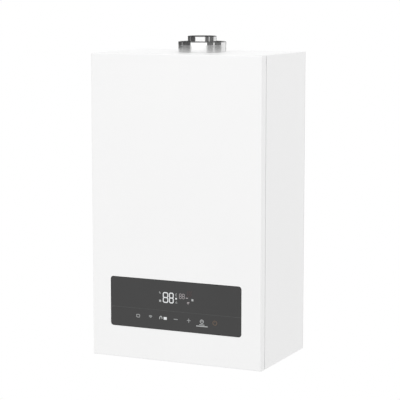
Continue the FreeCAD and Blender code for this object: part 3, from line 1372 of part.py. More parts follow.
def make_fan_impeller():
    length = "(impeller_front - volute_front + motor_flange_depth + motor_depth - motor_end)"
    corners = [("0", minus(length)), ("shaft_radius", minus(length)), ("shaft_radius", "0"),
               ("impeller_radius", "0"), ("impeller_radius", "impeller_plate"), ("hub_radius", "impeller_plate"),
               ("hub_radius", "hub_depth"), ("0", "hub_depth")]
    blade = ("impeller_radius - impeller_ring", "impeller_radius", "impeller_blade", "impeller_plate / 2",
             "impeller_depth")
    place = ("fan_side", "impeller_front", "fan_level")
    owner = bladed_wheel("fan_impeller", "y", place, corners, blade, FAN_BLADE_COUNT)
    rim = [("impeller_radius - impeller_ring", "impeller_depth - impeller_plate"),
           ("impeller_radius", "impeller_depth - impeller_plate"), ("impeller_radius", "impeller_depth"),
           ("impeller_radius - impeller_ring", "impeller_depth")]
    owner.Tip = revolve(owner, "impeller_rim", outline(owner, "impeller_rim_profile", "XZ_Plane", rim))
    keep(owner, "fan_impeller")


def make_fan_motor():
    can = "motor_flange_depth + motor_depth"
    end = f"{can} - motor_end + overrun"
    corners = [("shaft_bore", "0"), ("motor_flange", "0"), ("motor_flange", "motor_flange_depth"),
               ("motor_radius", "motor_flange_depth"), ("motor_radius", can), ("motor_boss", can),
               ("motor_boss", f"{can} + motor_boss_depth"), ("0", f"{can} + motor_boss_depth"),
               ("0", end), ("shaft_bore", end)]
    keep(turned("fan_motor", "-y", ("fan_side", "volute_front", "fan_level"), corners), "fan_motor")


def make_flue():
    base = "top_under - collar_flange_height"
    corners = [("collar_bore", base), ("collar_outer + collar_flange", base),
               ("collar_outer + collar_flange", "top_under"), ("collar_neck", "top_under"),
               ("collar_neck", "collar_foot"), ("collar_outer", "collar_foot"),
               ("collar_outer", "case_height + collar_rise"), ("collar_bore", "case_height + collar_rise")]
    keep(turned("air_collar", "z", ("0", "flue_y", "0"), corners), "air_collar")
    corners = [("flue_bore", "socket_base"), ("flue_outer", "socket_base"),
               ("flue_outer", "case_height + flue_rise"), ("flue_bore", "case_height + flue_rise")]
    keep(turned("flue_pipe", "z", ("0", "flue_y", "0"), corners), "flue_pipe")
    keep(ring("flue_seal", "flue_outer + fit_gap", "flue_outer + flue_seal_width", "z", ("0", "flue_y"),
              ("socket_top", "socket_top + flue_seal_height")), "flue_seal")


def switch_port_levels():
    return ["switch_level - port_spread", "switch_level + port_spread"]


def make_pressure_switch():
    centre = ("switch_y", "switch_level")
    wall = "-chamber_inner"
    base = rod("switch_base_disc", "switch_radius", "x", centre, (wall, f"{wall} + switch_base"))
    cap = rod("switch_cap_disc", "switch_cap_radius", "x", centre, (f"{wall} + switch_base", "switch_face"))
    ports = [rod("switch_port", "port_radius", "x", ("switch_y", level),
                 ("switch_face", "switch_face + port_length")) for level in switch_port_levels()]
    keep(fuse("air_pressure_switch", base, cap, *ports), "air_pressure_switch")


def make_pressure_hoses():
    hoses = []
    start = "switch_face + port_length - hose_grip"
    end = "-outlet_half - port_length + hose_grip"
    for low, high in zip(switch_port_levels(), tap_levels()):
        near = f"{start} + ({end} - ({start})) / 3"
        far = f"{start} + ({end} - ({start})) * 2 / 3"
        route = [(start, "switch_y", low), (near, "switch_y", low), (far, "flue_y", high), (end, "flue_y", high)]
        hoses.append(pipe("pressure_hose", route, "port_radius + fit_gap / 2 + hose_wall", "hose_bend",
                          "port_radius + fit_gap / 2"))
    keep(group("pressure_hoses", *hoses), "pressure_hoses")


# Gas line

def make_gas_valve():
    body_part = rounded("valve_casting", block("valve_block", centred("valve_half"), ("valve_front", "valve_back"),
                                               ("valve_base", "valve_top")), "valve_round")
    centre = ("0", "nipple_y")
    inlet = rod("valve_inlet", "valve_boss", "z", centre, ("valve_base - valve_boss_height", "valve_base"))
    outlet = rod("valve_outlet", "valve_boss", "z", centre, ("valve_top", "valve_top + valve_boss_height"))
    seats = [rod("plunger_seat_hole", "plunger_radius + running_gap", "y", (across, "coil_height"),
                 ("valve_front - overrun", "plunger_end + stem_travel"))
             for across in ("-coil_spread", "coil_spread")]
    keep(cut("gas_valve", fuse("valve_solid", body_part, inlet, outlet), *seats), "gas_valve")


def make_gas_coils():
    coils = []
    plungers = []
    for across in ("-coil_spread", "coil_spread"):
        centre = (across, "coil_height")
        can = rod("coil_can", "coil_radius", "y", centre, ("coil_front", "valve_front"))
        hole = rod("coil_bore", "plunger_radius + running_gap", "y", centre,
                   ("coil_front + plunger_bore_end", "valve_front + overrun"))
        coils.append(cut("gas_coil", can, hole))
        plungers.append(rod("gas_plunger", "plunger_radius", "y", centre, ("plunger_front", "plunger_end")))
    keep(group("gas_valve_coils", *coils), "gas_valve_coils")
    keep(group("gas_plungers", *plungers), "gas_plungers")


def make_gas_feed_pipe():
    route = [("0", "nipple_y", "valve_top + valve_boss_height"), ("0", "nipple_y", "gas_run"),
             ("0", "manifold_front", "gas_run"), ("0", "manifold_front", "injector_height - manifold_stub")]
    keep(pipe("gas_feed_pipe", route, "gas_pipe_radius", "gas_pipe_bend"), "gas_feed_pipe")


# Water side

def make_nipples():
    items = []
    for across, thread in NIPPLES:
        centre = (across, "nipple_y")
        top = "valve_base - valve_boss_height" if across == "0" else "block_base"
        hex_low = "bottom_rise - hex_height"
        screw = rod("nipple_thread", thread, "z", centre, ("-nipple_drop", hex_low))
        grip = hexagon("nipple_hexagon", f"{thread} + hex_step", centre, (hex_low, "bottom_rise"))
        spigot = rod("nipple_spigot", f"{thread} - spigot_step", "z", centre, ("bottom_rise", top))
        hole = rod("nipple_bore", f"{thread} - thread_wall", "z", centre,
                   ("-nipple_drop - overrun", f"{top} + overrun"))
        items.append(cut("nipple", fuse("nipple_solid", screw, grip, spigot), hole))
    keep(group("connection_nipples", *items), "connection_nipples")


def column(name, radius, across, top):
    return rod(name, radius, "z", (across, "nipple_y"), ("block_base", top))


def ports(across):
    return [rod("block_port", "exchange_port", "y", (across, level), ("nipple_y", "port_y"))
            for level in ("port_low", "port_high")]


def make_flow_block():
    chest = ("chest_x", "nipple_y")
    solids = [
        column("flow_column", "column_radius", "flow_x", "flow_top"),
        column("hot_column", "side_column", "hot_x", "chest_top"),
        rod("flow_header", "header_radius", "x", ("nipple_y", "header_level"), ("flow_x", "hot_x")),
        rod("valve_chest", "chest_radius", "z", chest, ("chest_base", "chest_top")),
        *ports("hot_x"),
    ]
    below = "block_base - overrun"
    tools = [
        rod("flow_bore", "column_bore", "z", ("flow_x", "nipple_y"), (below, "flow_top - chest_floor")),
        rod("hot_bore", "side_bore", "z", ("hot_x", "nipple_y"), (below, "side_bore_top")),
        rod("chest_bore_tool", "chest_bore", "z", chest, ("chest_base + chest_floor", "chest_top - chest_cap")),
        rod("stem_guide", "stem_radius + running_gap", "z", chest,
            ("chest_top - chest_cap - overrun", "chest_top + overrun")),
    ]
    keep(cut("flow_block", fuse("flow_solid", *solids), *tools), "flow_block")


def make_return_block():
    fill = ("fill_x", "fill_y")
    solids = [
        column("return_column", "column_radius", "return_x", "return_top"),
        column("cold_column", "side_column", "cold_x", "chest_top"),
        rod("return_header", "header_radius", "x", ("nipple_y", "header_level"), ("cold_x", "return_x")),
        rod("relief_seat_boss", "relief_boss", "y", ("return_x", "relief_level"), ("relief_face", "nipple_y")),
        rod("vessel_seat", "vessel_pipe_radius * 2", "y", ("return_x", "header_level"), ("nipple_y", "port_y")),
        rod("fill_arm_rod", "fill_arm", "y", ("fill_x", "header_level"), ("fill_y", "nipple_y")),
        rod("fill_body", "fill_boss", "z", fill, ("fill_boss_base", "header_level + header_radius")),
        *ports("cold_x"),
    ]
    below = "block_base - overrun"
    tools = [
        rod("return_bore", "column_bore", "z", ("return_x", "nipple_y"), (below, "return_top + overrun")),
        rod("cold_bore", "side_bore", "z", ("cold_x", "nipple_y"), (below, "side_bore_top")),
        rod("axle_hole", "turbine_axle + running_gap", "z", ("cold_x", "nipple_y"),
            ("side_bore_top - overrun", "side_bore_top + turbine_pin + overrun")),
        rod("fill_bore", "fill_stem + running_gap", "z", fill,
            ("fill_boss_base - overrun", "fill_stem_top + knob_gap")),
    ]
    keep(cut("return_block", fuse("return_solid", *solids), *tools), "return_block")


def make_plate_exchanger():
    core = block("exchange_core", centred("(exchange_half - exchange_rim)"), ("exchange_front", "-exchange_back"),
                 ("exchange_low + exchange_rim", "exchange_high - exchange_rim"))
    rims = []
    for step in range(PLATE_COUNT):
        low = f"exchange_front + {step} * exchange_pitch"
        rims.append(block("exchange_plate", centred("exchange_half"), (low, f"{low} + exchange_rib"),
                          ("exchange_low", "exchange_high")))
    stubs = [rod("exchange_stub", "exchange_port", "y", (across, level), ("port_y", "exchange_front"))
             for across in ("hot_x", "cold_x") for level in ("port_low", "port_high")]
    keep(fuse("plate_heat_exchanger", core, *rims, *stubs), "plate_heat_exchanger")


def make_diverter():
    middle = ("chest_x", "nipple_y")
    case = rounded("actuator_case", block("actuator_block", about("chest_x", "actuator_width / 2"),
                                          about("nipple_y", "actuator_depth / 2"),
                                          ("chest_top", "chest_top + actuator_height")), "actuator_round")
    hole = rod("actuator_hole", "actuator_bore", "z", middle,
               ("chest_top - overrun", "stem_high + stem_travel + overrun"))
    keep(cut("valve_actuator", case, hole), "valve_actuator")
    stem = rod("stem_rod", "stem_radius", "z", middle, ("stem_low", "stem_high"))
    disc = rod("stem_disc", "disc_radius", "z", middle,
               ("stem_low + disc_rise", "stem_low + disc_rise + disc_height"))
    keep(fuse("valve_stem", stem, disc), "valve_stem")


def make_pump():
    centre = ("return_x", "pump_level")
    upright = ("return_x", "nipple_y")
    drum = rod("pump_drum", "pump_radius", "y", centre, ("pump_front", "pump_back"))
    neck = rod("pump_neck_rod", "pump_neck", "z", upright, ("return_top", "pump_level"))
    outlet = rod("pump_outlet_rod", "pump_outlet", "z", upright, ("pump_level", "pump_outlet_top"))
    seat = rod("vent_seat_rod", "vent_boss", "z", ("return_x - vent_side", "nipple_y"), ("pump_level", "vent_seat"))
    room = rod("pump_room", "pump_radius - pump_wall", "y", centre, ("pump_inner", "pump_back - pump_wall"))
    eye = rod("pump_eye", "shaft_hole", "y", centre, ("pump_front - overrun", "pump_inner + overrun"))
    inlet = rod("pump_inlet", "column_bore", "z", upright, ("return_top - overrun", "pump_level"))
    keep(cut("pump_housing", fuse("pump_solid", drum, neck, outlet, seat), room, eye, inlet), "pump_housing")
    can = "pump_flange_depth + pump_can_depth"
    end = f"{can} - motor_end + overrun"
    corners = [("shaft_bore", "0"), ("pump_flange", "0"), ("pump_flange", "pump_flange_depth"),
               ("pump_can", "pump_flange_depth"), ("pump_can", can), ("pump_cap", can),
               ("pump_cap", f"{can} + pump_cap_depth"), ("0", f"{can} + pump_cap_depth"), ("0", end),
               ("shaft_bore", end)]
    keep(turned("pump_motor", "-y", ("return_x", "pump_front", "pump_level"), corners), "pump_motor")
    length = f"(wheel_front - pump_front + {can} - motor_end)"
    corners = [("0", minus(length)), ("shaft_radius", minus(length)), ("shaft_radius", "0"), ("pump_wheel", "0"),
               ("pump_wheel", "pump_blade"), ("pump_hub", "pump_blade"), ("pump_hub", "pump_wheel_depth"),
               ("0", "pump_wheel_depth")]
    blade = ("pump_hub / 2", "pump_wheel", "pump_blade", "pump_blade / 2", "pump_wheel_depth")
    place = ("return_x", "wheel_front", "pump_level")
    keep(bladed_wheel("pump_rotor", "y", place, corners, blade, PUMP_BLADE_COUNT), "pump_rotor")


def make_air_vent():
    top = "vent_height"
    corners = [("0", "0"), ("vent_radius", "0"), ("vent_radius", top), ("vent_cap", top),
               ("vent_cap", f"{top} + vent_cap_height"), ("0", f"{top} + vent_cap_height")]
    keep(turned("air_vent", "z", ("return_x - vent_side", "nipple_y", "vent_seat"), corners), "air_vent")


def make_safety_valve():
    centre = ("return_x", "relief_level")
    body_part = rod("relief_body", "relief_radius", "y", centre, ("relief_front", "relief_face"))
    stem = rod("relief_stem_rod", "relief_stem", "y", centre, ("relief_front - relief_stem_length", "relief_front"))
    keep(fuse("safety_valve", body_part, stem), "safety_valve")
    place = ("return_x", "relief_front - knob_gap", "relief_level")
    keep(fluted_knob("safety_knob", "-y", place, "relief_knob", "relief_knob_depth",
                     "relief_stem + running_gap", "relief_stem_length"), "safety_knob")


def make_fill_knob():
    floor = "fill_knob_top - fill_knob_height"
    stem = f"fill_stem_top - ({floor})"
    corners = [("0", "0"), ("fill_knob_radius", "0"), ("fill_knob_radius", "fill_knob_height"),
               ("fill_stem", "fill_knob_height"), ("fill_stem", stem), ("0", stem)]
    owner = turned("fill_knob", "z", ("fill_x", "fill_y", floor), corners)
    sketch = new_sketch(owner, "fill_flute", "XY_Plane")
    add_circle(sketch, "knob_flute", "fill_knob_radius", "0")
    flute = extrude(owner, "Pocket", "fill_first_flute", sketch, "fill_knob_height", reverse=True)
    polar(owner, "fill_flutes", flute, KNOB_FLUTE_COUNT)
    keep(owner, "fill_knob")


def make_flow_turbine():
    top = "side_bore_top + turbine_pin - turbine_base"
    corners = [("0", "0"), ("turbine_hub", "0"), ("turbine_hub", "turbine_height"),
               ("turbine_axle", "turbine_height"), ("turbine_axle", top), ("0", top)]
    blade = ("turbine_axle / 2", "turbine_radius", "turbine_blade", "0", "turbine_height")
    place = ("cold_x", "nipple_y", "turbine_base")
    keep(bladed_wheel("flow_turbine", "z", place, corners, blade, TURBINE_BLADE_COUNT), "flow_turbine")


def make_expansion_vessel():
    wall = "vessel_wall"
    outer = rounded("vessel_skin", block("vessel_block", centred("vessel_half"), ("vessel_front", "frame_front"),
                                         ("vessel_low", "vessel_top")), "vessel_round")
    inner = rounded("vessel_space", block("vessel_room", centred(f"(vessel_half - {wall})"),
                                          (f"vessel_front + {wall}", f"frame_front - {wall}"),
                                          (f"vessel_low + {wall}", f"vessel_top - {wall}")), f"vessel_round - {wall}")
    centre = ("neck_x", "vessel_y")
    neck = rod("vessel_neck_rod", "vessel_pipe_radius", "z", centre, ("neck_low", f"vessel_low + {wall}"))
    hole = rod("vessel_neck_bore", f"vessel_pipe_radius - 2 * {wall}", "z", centre,
               ("neck_low - overrun", f"vessel_low + {wall} + overrun"))
    keep(cut("expansion_vessel", fuse("vessel_solid", cut("vessel_shell", outer, inner), neck), hole),
         "expansion_vessel")
    jog = "neck_low - vessel_pipe_bend"
    route = [("neck_x", "vessel_y", "neck_low"), ("neck_x", "vessel_y", jog),
             ("return_x", "vessel_y", f"{jog} - vessel_jog"), ("return_x", "vessel_y", "header_level"),
             ("return_x", "port_y", "header_level")]
    keep(pipe("vessel_pipe", route, "vessel_pipe_radius", "vessel_pipe_bend"), "vessel_pipe")


def make_heating_pipes():
    first, last = tube_places()
    jog_high = "chamber_base - pipe_jog_high"
    jog_low = "pump_outlet_top + pipe_straight"
    flow = [("-tube_reach", first, "tube_level"), ("-pipe_x", first, "tube_level"), ("-pipe_x", first, jog_high),
            ("flow_x", "nipple_y", jog_low), ("flow_x", "nipple_y", "flow_top")]
    back = [("tube_reach", last, "tube_level"), ("pipe_x", last, "tube_level"), ("pipe_x", last, jog_high),
            ("return_x", "nipple_y", jog_low), ("return_x", "nipple_y", "pump_outlet_top")]
    keep(group("heating_pipes", pipe("flow_pipe", flow, "tube_radius", "pipe_bend"),
               pipe("return_pipe", back, "tube_radius", "pipe_bend")), "heating_pipes")


def make_wiring_leads():
    fan = [("fan_lead_x", "lead_y", "control_high"), ("fan_lead_x", "lead_y", "fan_level - motor_flange"),
           ("fan_lead_x", "volute_front - motor_depth / 2", "fan_level"),
           ("fan_side + motor_radius", "volute_front - motor_depth / 2", "fan_level")]
    beside = "stack_front - electrode_out / 2"
    spark = [("-spark_side", "lead_y", "control_high"), ("-spark_side", "lead_y", "electrode_height"),
             ("-spark_side", beside, "electrode_height"),
             ("-electrode_side - electrode_radius", beside, "electrode_height")]
    keep(group("wiring_leads", pipe("fan_lead", fan, "lead_radius", "lead_bend"),
               pipe("spark_lead", spark, "lead_radius", "lead_bend / 2")), "wiring_leads")


make_rear_frame()
make_side_panel(-1, "left_side_panel")
make_side_panel(1, "right_side_panel")
make_casing_screws()
make_top_panel()
make_bottom_plate()
make_front_cover()
make_cover_fixings()
make_touch_glass()
make_panel_carrier()
make_display_board()
make_control_box()
make_main_board()
make_side_brackets()
make_cable_gland()
make_sealed_chamber()
make_chamber_cover()
make_chamber_seal()
make_chamber_screws()
make_burner_tray()
make_burner_blades()
make_gas_manifold()
make_electrodes()
make_combustion_box()
make_insulation()
make_exchanger_fins()
make_exchanger_tubes()
make_flue_hood()
make_fan_volute()
make_fan_impeller()
make_fan_motor()
make_flue()
make_pressure_switch()
make_pressure_hoses()
make_gas_valve()
make_gas_coils()
make_gas_feed_pipe()
make_nipples()
make_flow_block()
make_return_block()
make_plate_exchanger()
make_diverter()
make_pump()
make_air_vent()
make_safety_valve()
make_fill_knob()
make_flow_turbine()
make_expansion_vessel()
make_heating_pipes()
make_wiring_leads()
doc.recompute()

faults = [f"{item.Name}: {item.State}" for item in doc.Objects
          if "Invalid" in item.State or "Error" in item.State]
faults += [f"{item.Label}: empty or invalid shape" for item in nodes
           if item.Shape.isNull() or not item.Shape.isValid() or not item.Shape.Solids]
if faults:
    raise RuntimeError("\n".join(faults))

os.makedirs("parts", exist_ok=True)
for item in nodes:
    item.Shape.exportStep(f"parts/{item.Label}.step")
    print(f"{item.Label}: {len(item.Shape.Solids)} solids, {item.Shape.Volume:.0f} mm3")
print(f"{len(nodes)} nodes")
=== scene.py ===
import json
import math

import bmesh
import bpy
from mathutils import Matrix, Vector


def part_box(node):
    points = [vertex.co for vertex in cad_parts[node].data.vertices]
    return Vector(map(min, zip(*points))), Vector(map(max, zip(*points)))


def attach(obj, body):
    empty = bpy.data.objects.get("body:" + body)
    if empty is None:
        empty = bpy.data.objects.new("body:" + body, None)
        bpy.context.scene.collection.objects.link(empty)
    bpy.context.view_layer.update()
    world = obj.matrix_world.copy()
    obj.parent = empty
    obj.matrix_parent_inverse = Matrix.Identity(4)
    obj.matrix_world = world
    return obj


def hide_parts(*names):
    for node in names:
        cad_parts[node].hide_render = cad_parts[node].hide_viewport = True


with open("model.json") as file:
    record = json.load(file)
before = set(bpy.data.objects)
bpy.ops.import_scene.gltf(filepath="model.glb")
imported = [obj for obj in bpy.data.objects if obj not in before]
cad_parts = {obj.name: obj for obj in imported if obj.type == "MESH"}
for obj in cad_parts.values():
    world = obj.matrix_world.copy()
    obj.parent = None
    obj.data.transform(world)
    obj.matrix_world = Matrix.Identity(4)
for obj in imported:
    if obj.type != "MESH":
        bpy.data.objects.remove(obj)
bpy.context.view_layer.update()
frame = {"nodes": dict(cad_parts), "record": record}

mm = 0.001
white = (1.0, 1.0, 1.0, 1.0)
upward = (0, 0, 1)
frontward = (0, -1, 0)
scene = bpy.context.scene
scene.view_settings.view_transform = "Standard"
print("frame loaded:", len(frame["nodes"]), "nodes")

# camera, from the perspective of the casing's corners
cameraSetup = {
    "place": (1.4405, -3.2334, 0.7971),
    "aim": (0.00267, -0.1225, 0.33867),
    "lens": 141.745,
    "sensor": 36.0,
    "reach": 50.0,
}


def placeCamera(setup):
    data = bpy.data.cameras.new("photoCamera")
    data.lens = setup["lens"]
    data.sensor_width = setup["sensor"]
    data.clip_end = setup["reach"]
    camera = bpy.data.objects.new("photoCamera", data)
    camera.location = setup["place"]
    look = Vector(setup["aim"]) - Vector(setup["place"])
    camera.rotation_euler = look.to_track_quat("-Z", "Y").to_euler()
    scene.collection.objects.link(camera)
    scene.camera = camera


placeCamera(cameraSetup)
print("camera placed")

# white studio: pale world, floor well below the hung casing, soft lamps
studio = {
    "ambient": 0.99,
    "floorLevel": -4.2,
    "floorSize": 44.0,
    "floorColour": (0.85, 0.85, 0.85, 1.0),
    "floorRough": 0.9,
    "lamps": {
        "topLamp": {"place": (0.2, -0.5, 2.6), "aim": (0.0, -0.12, 0.6), "size": 2.2, "watts": 4.0},
        "frontLamp": {"place": (-1.2, -3.2, 1.5), "aim": (0.0, -0.2, 0.33), "size": 2.4, "watts": 9.5},
    },
    # what the metal mirrors: dark cards at the sides and behind, with gaps for pale streaks, and a bright box
    "cards": {
        "leftFrontCard": {
            "place": (-1.2, -1.098, 0.65), "aim": (0.0, -1.098, 0.65),
            "wide": 1.78, "tall": 0.9, "tone": 0.11,
        },
        "leftBackCard": {
            "place": (-1.2, 0.668, 0.65), "aim": (0.0, 0.668, 0.65),
            "wide": 1.65, "tall": 0.9, "tone": 0.11,
        },
        "rightFrontCard": {
            "place": (1.2, -0.785, 0.65), "aim": (0.0, -0.785, 0.65),
            "wide": 0.88, "tall": 0.9, "tone": 0.19,
        },
        "rightBackCard": {
            "place": (1.2, 0.29, 0.65), "aim": (0.0, 0.29, 0.65),
            "wide": 1.01, "tall": 0.9, "tone": 0.19,
        },
        "backCard": {
            "place": (-0.587, 1.166, 0.45), "aim": (0.0, -0.105, 0.45),
            "wide": 1.3, "tall": 0.4, "tone": 0.1,
        },
        "softBox": {
            "place": (0.355, -2.48, 0.62), "aim": (0.0, -0.105, 0.62),
            "wide": 5.9, "tall": 0.7, "tone": 1.45,
        },
    },
    # takes light off the lower side panel
    "flags": {
        "lowFlag": {
            "place": (0.9, -0.12, -0.15), "aim": (0.2, -0.12, 0.05),
            "wide": 0.5, "tall": 0.2, "tone": 0.1,
        },
    },
}


def linkTo(tree, source, target):
    tree.links.new(source, target)


# 1 where the camera, a mirror or clear glass looks, 0 where light only bounces
def seenRays(tree):
    path = tree.nodes.new("ShaderNodeLightPath")
    total = path.outputs["Is Camera Ray"]
    for name in ("Is Glossy Ray", "Is Transmission Ray"):
        joined = tree.nodes.new("ShaderNodeMath")
        joined.operation = "MAXIMUM"
        linkTo(tree, total, joined.inputs[0])
        linkTo(tree, path.outputs[name], joined.inputs[1])
        total = joined.outputs[0]
    return total


def makeWorld(setup):
    world = bpy.data.worlds.new("whiteStudio")
    world.use_nodes = True
    tree = world.node_tree
    tree.nodes.clear()
    lightSide = tree.nodes.new("ShaderNodeBackground")
    lightSide.inputs["Strength"].default_value = setup["ambient"]
    lightSide.inputs["Color"].default_value = white
    seenSide = tree.nodes.new("ShaderNodeBackground")
    seenSide.inputs["Color"].default_value = white
    mix = tree.nodes.new("ShaderNodeMixShader")
    out = tree.nodes.new("ShaderNodeOutputWorld")
    linkTo(tree, seenRays(tree), mix.inputs[0])
    linkTo(tree, lightSide.outputs[0], mix.inputs[1])
    linkTo(tree, seenSide.outputs[0], mix.inputs[2])
    linkTo(tree, mix.outputs[0], out.inputs["Surface"])
    scene.world = world


def newFinish(name):
    mat = bpy.data.materials.new(name)
    mat.use_nodes = True
    return mat, mat.node_tree, mat.node_tree.nodes["Principled BSDF"]


def floorFinish(setup):
    mat, tree, shader = newFinish("floorWhite")
    shader.inputs["Base Color"].default_value = setup["floorColour"]
    shader.inputs["Roughness"].default_value = setup["floorRough"]
    glow = tree.nodes.new("ShaderNodeEmission")
    mix = tree.nodes.new("ShaderNodeMixShader")
    linkTo(tree, seenRays(tree), mix.inputs[0])
    linkTo(tree, shader.outputs[0], mix.inputs[1])
    linkTo(tree, glow.outputs[0], mix.inputs[2])
    linkTo(tree, mix.outputs[0], tree.nodes["Material Output"].inputs["Surface"])
    return mat


def cardFinish(name, tone):
    mat, tree = newFinish(name)[:2]
    glow = tree.nodes.new("ShaderNodeEmission")
    glow.inputs["Color"].default_value = (tone, tone, tone, 1.0)
    linkTo(tree, glow.outputs[0], tree.nodes["Material Output"].inputs["Surface"])
    return mat


def flatSheet(name, wide, tall, matrix, mat):
    x, y = wide / 2, tall / 2
    corners = [Vector(corner) for corner in ((-x, -y, 0), (x, -y, 0), (x, y, 0), (-x, y, 0))]
    mesh = bpy.data.meshes.new(name)
    mesh.from_pydata([matrix @ corner for corner in corners], [], [(0, 1, 2, 3)])
    mesh.materials.append(mat)
    sheet = bpy.data.objects.new(name, mesh)
    scene.collection.objects.link(sheet)
    return sheet


def facing(place, aim):
    turn = (Vector(aim) - Vector(place)).to_track_quat("-Z", "Y")
    return Matrix.Translation(place) @ turn.to_matrix().to_4x4()


def makeStudio(setup):
    makeWorld(setup)
    size = setup["floorSize"]
    level = Matrix.Translation((0, 0, setup["floorLevel"]))
    flatSheet("studioFloor", size, size, level, floorFinish(setup))
    for name, lamp in setup["lamps"].items():
        data = bpy.data.lights.new(name, "AREA")
        data.shape = "SQUARE"
        data.size = lamp["size"]
        data.energy = lamp["watts"]
        lampObject = bpy.data.objects.new(name, data)
        lampObject.matrix_world = facing(lamp["place"], lamp["aim"])
        lampObject.visible_camera = False
        lampObject.visible_glossy = False
        scene.collection.objects.link(lampObject)
    # cards show only in gloss, flags only take light away
    for kind, hidden in (("cards", "visible_diffuse"), ("flags", "visible_glossy")):
        for name, card in setup[kind].items():
            matrix = facing(card["place"], card["aim"])
            sheet = flatSheet(name, card["wide"], card["tall"], matrix, cardFinish(name, card["tone"]))
            sheet.visible_camera = False
            sheet.visible_shadow = False
            setattr(sheet, hidden, False)


makeStudio(studio)
print("studio set")

# finishes, one for each slot: two tones that a pattern mixes, roughness span and relief
finishes = {
    "white_paint": {
        "tones": ((0.893, 0.893, 0.893), (0.903, 0.903, 0.902)), "patchScale": 7.0,
        "rough": (0.33, 0.41), "reliefScale": 420.0, "relief": 0.00002,
    },
    "zinc_sheet": {
        "tones": ((0.61, 0.625, 0.64), (0.66, 0.675, 0.69)), "patchScale": 170.0, "pattern": "flakes",
        "rough": (0.56, 0.68), "reliefScale": 260.0, "relief": 0.00004, "metal": 0.7,
    },
    "screw_steel": {
        "tones": ((0.50, 0.51, 0.52), (0.62, 0.62, 0.61)), "patchScale": 300.0,
        "rough": (0.25, 0.4), "reliefScale": 1500.0, "relief": 0.00003, "metal": 1.0,
    },
    "black_rubber": {
        "tones": ((0.018, 0.018, 0.018), (0.032, 0.031, 0.030)), "patchScale": 120.0,
        "rough": (0.6, 0.8), "reliefScale": 900.0, "relief": 0.00008,
    },
    "dark_glass": {
        "tones": ((0.0285, 0.0285, 0.0285), (0.0315, 0.0315, 0.0315)), "patchScale": 12.0,
        "rough": (0.10, 0.16), "reliefScale": 60.0, "relief": 0.000002,
    },
    "grey_plastic": {
        "tones": ((0.12, 0.125, 0.13), (0.15, 0.155, 0.16)), "patchScale": 40.0,
        "rough": (0.45, 0.58), "reliefScale": 1100.0, "relief": 0.00006,
    },
    "circuit_board": {
        "tones": ((0.01, 0.10, 0.045), (0.03, 0.22, 0.10)), "patchScale": 190.0, "pattern": "tracks",
        "rough": (0.3, 0.5), "reliefScale": 500.0, "relief": 0.00004,
    },
    "clear_glass": {
        "tones": ((0.86, 0.88, 0.87), (0.92, 0.93, 0.92)), "patchScale": 30.0,
        "rough": (0.04, 0.10), "reliefScale": 40.0, "relief": 0.000004, "clear": 0.85,
    },
    "stainless": {
        "tones": ((0.50, 0.48, 0.46), (0.64, 0.62, 0.59)), "patchScale": 90.0, "stretch": (1.0, 1.0, 14.0),
        "rough": (0.24, 0.42), "reliefScale": 500.0, "relief": 0.00002, "metal": 1.0,
    },
    "ceramic": {
        "tones": ((0.80, 0.78, 0.72), (0.88, 0.86, 0.80)), "patchScale": 80.0,
        "rough": (0.15, 0.28), "reliefScale": 400.0, "relief": 0.00003,
    },
    "fibre_board": {
        "tones": ((0.66, 0.62, 0.54), (0.82, 0.78, 0.70)), "patchScale": 160.0,
        "rough": (0.8, 0.95), "reliefScale": 600.0, "relief": 0.0003,
    },
    "copper": {
        "tones": ((0.52, 0.24, 0.13), (0.76, 0.40, 0.25)), "patchScale": 45.0,
        "rough": (0.24, 0.42), "reliefScale": 350.0, "relief": 0.00003, "metal": 1.0,
    },
    "brass": {
        "tones": ((0.52, 0.40, 0.19), (0.72, 0.58, 0.30)), "patchScale": 60.0,
        "rough": (0.28, 0.46), "reliefScale": 700.0, "relief": 0.00006, "metal": 1.0,
    },
    "cast_alloy": {
        "tones": ((0.44, 0.45, 0.46), (0.60, 0.61, 0.62)), "patchScale": 90.0,
        "rough": (0.42, 0.6), "reliefScale": 800.0, "relief": 0.00012, "metal": 1.0,
    },
    "polished_alloy": {
        "tones": ((0.75, 0.75, 0.75), (0.80, 0.80, 0.80)), "patchScale": 50.0, "stretch": (1.0, 1.0, 20.0),
        "rough": (0.19, 0.25), "reliefScale": 300.0, "relief": 0.000004, "metal": 1.0,
    },
    "red_paint": {
        "tones": ((0.36, 0.016, 0.014), (0.44, 0.024, 0.020)), "patchScale": 20.0,
        "rough": (0.35, 0.48), "reliefScale": 600.0, "relief": 0.00008,
    },
    "red_plastic": {
        "tones": ((0.46, 0.020, 0.016), (0.54, 0.028, 0.022)), "patchScale": 60.0,
        "rough": (0.35, 0.45), "reliefScale": 1200.0, "relief": 0.00005,
    },
    "blue_plastic": {
        "tones": ((0.02, 0.08, 0.26), (0.03, 0.11, 0.32)), "patchScale": 60.0,
        "rough": (0.35, 0.45), "reliefScale": 1200.0, "relief": 0.00005,
    },
    "black_plastic": {
        "tones": ((0.020, 0.020, 0.022), (0.034, 0.034, 0.036)), "patchScale": 50.0,
        "rough": (0.42, 0.56), "reliefScale": 1300.0, "relief": 0.00006,
    },
    "pump_iron": {
        "tones": ((0.05, 0.052, 0.056), (0.09, 0.092, 0.096)), "patchScale": 70.0,
        "rough": (0.5, 0.68), "reliefScale": 500.0, "relief": 0.00025,
    },
    "lead_sleeve": {
        "tones": ((0.03, 0.03, 0.033), (0.05, 0.05, 0.053)), "patchScale": 100.0,
        "rough": (0.4, 0.55), "reliefScale": 900.0, "relief": 0.00004,
    },
}
patterns = {
    "textures": {
        "flakes": "ShaderNodeTexVoronoi",
        "tracks": "ShaderNodeTexBrick",
        "patches": "ShaderNodeTexNoise",
    },
    "toneEnds": (0.3, 0.7),  # where the pattern reaches each tone
    "patchDetail": 4.0,
    "trackGap": 0.06,
    "grainDetail": 3.0,
    "grainStrength": 0.6,
}
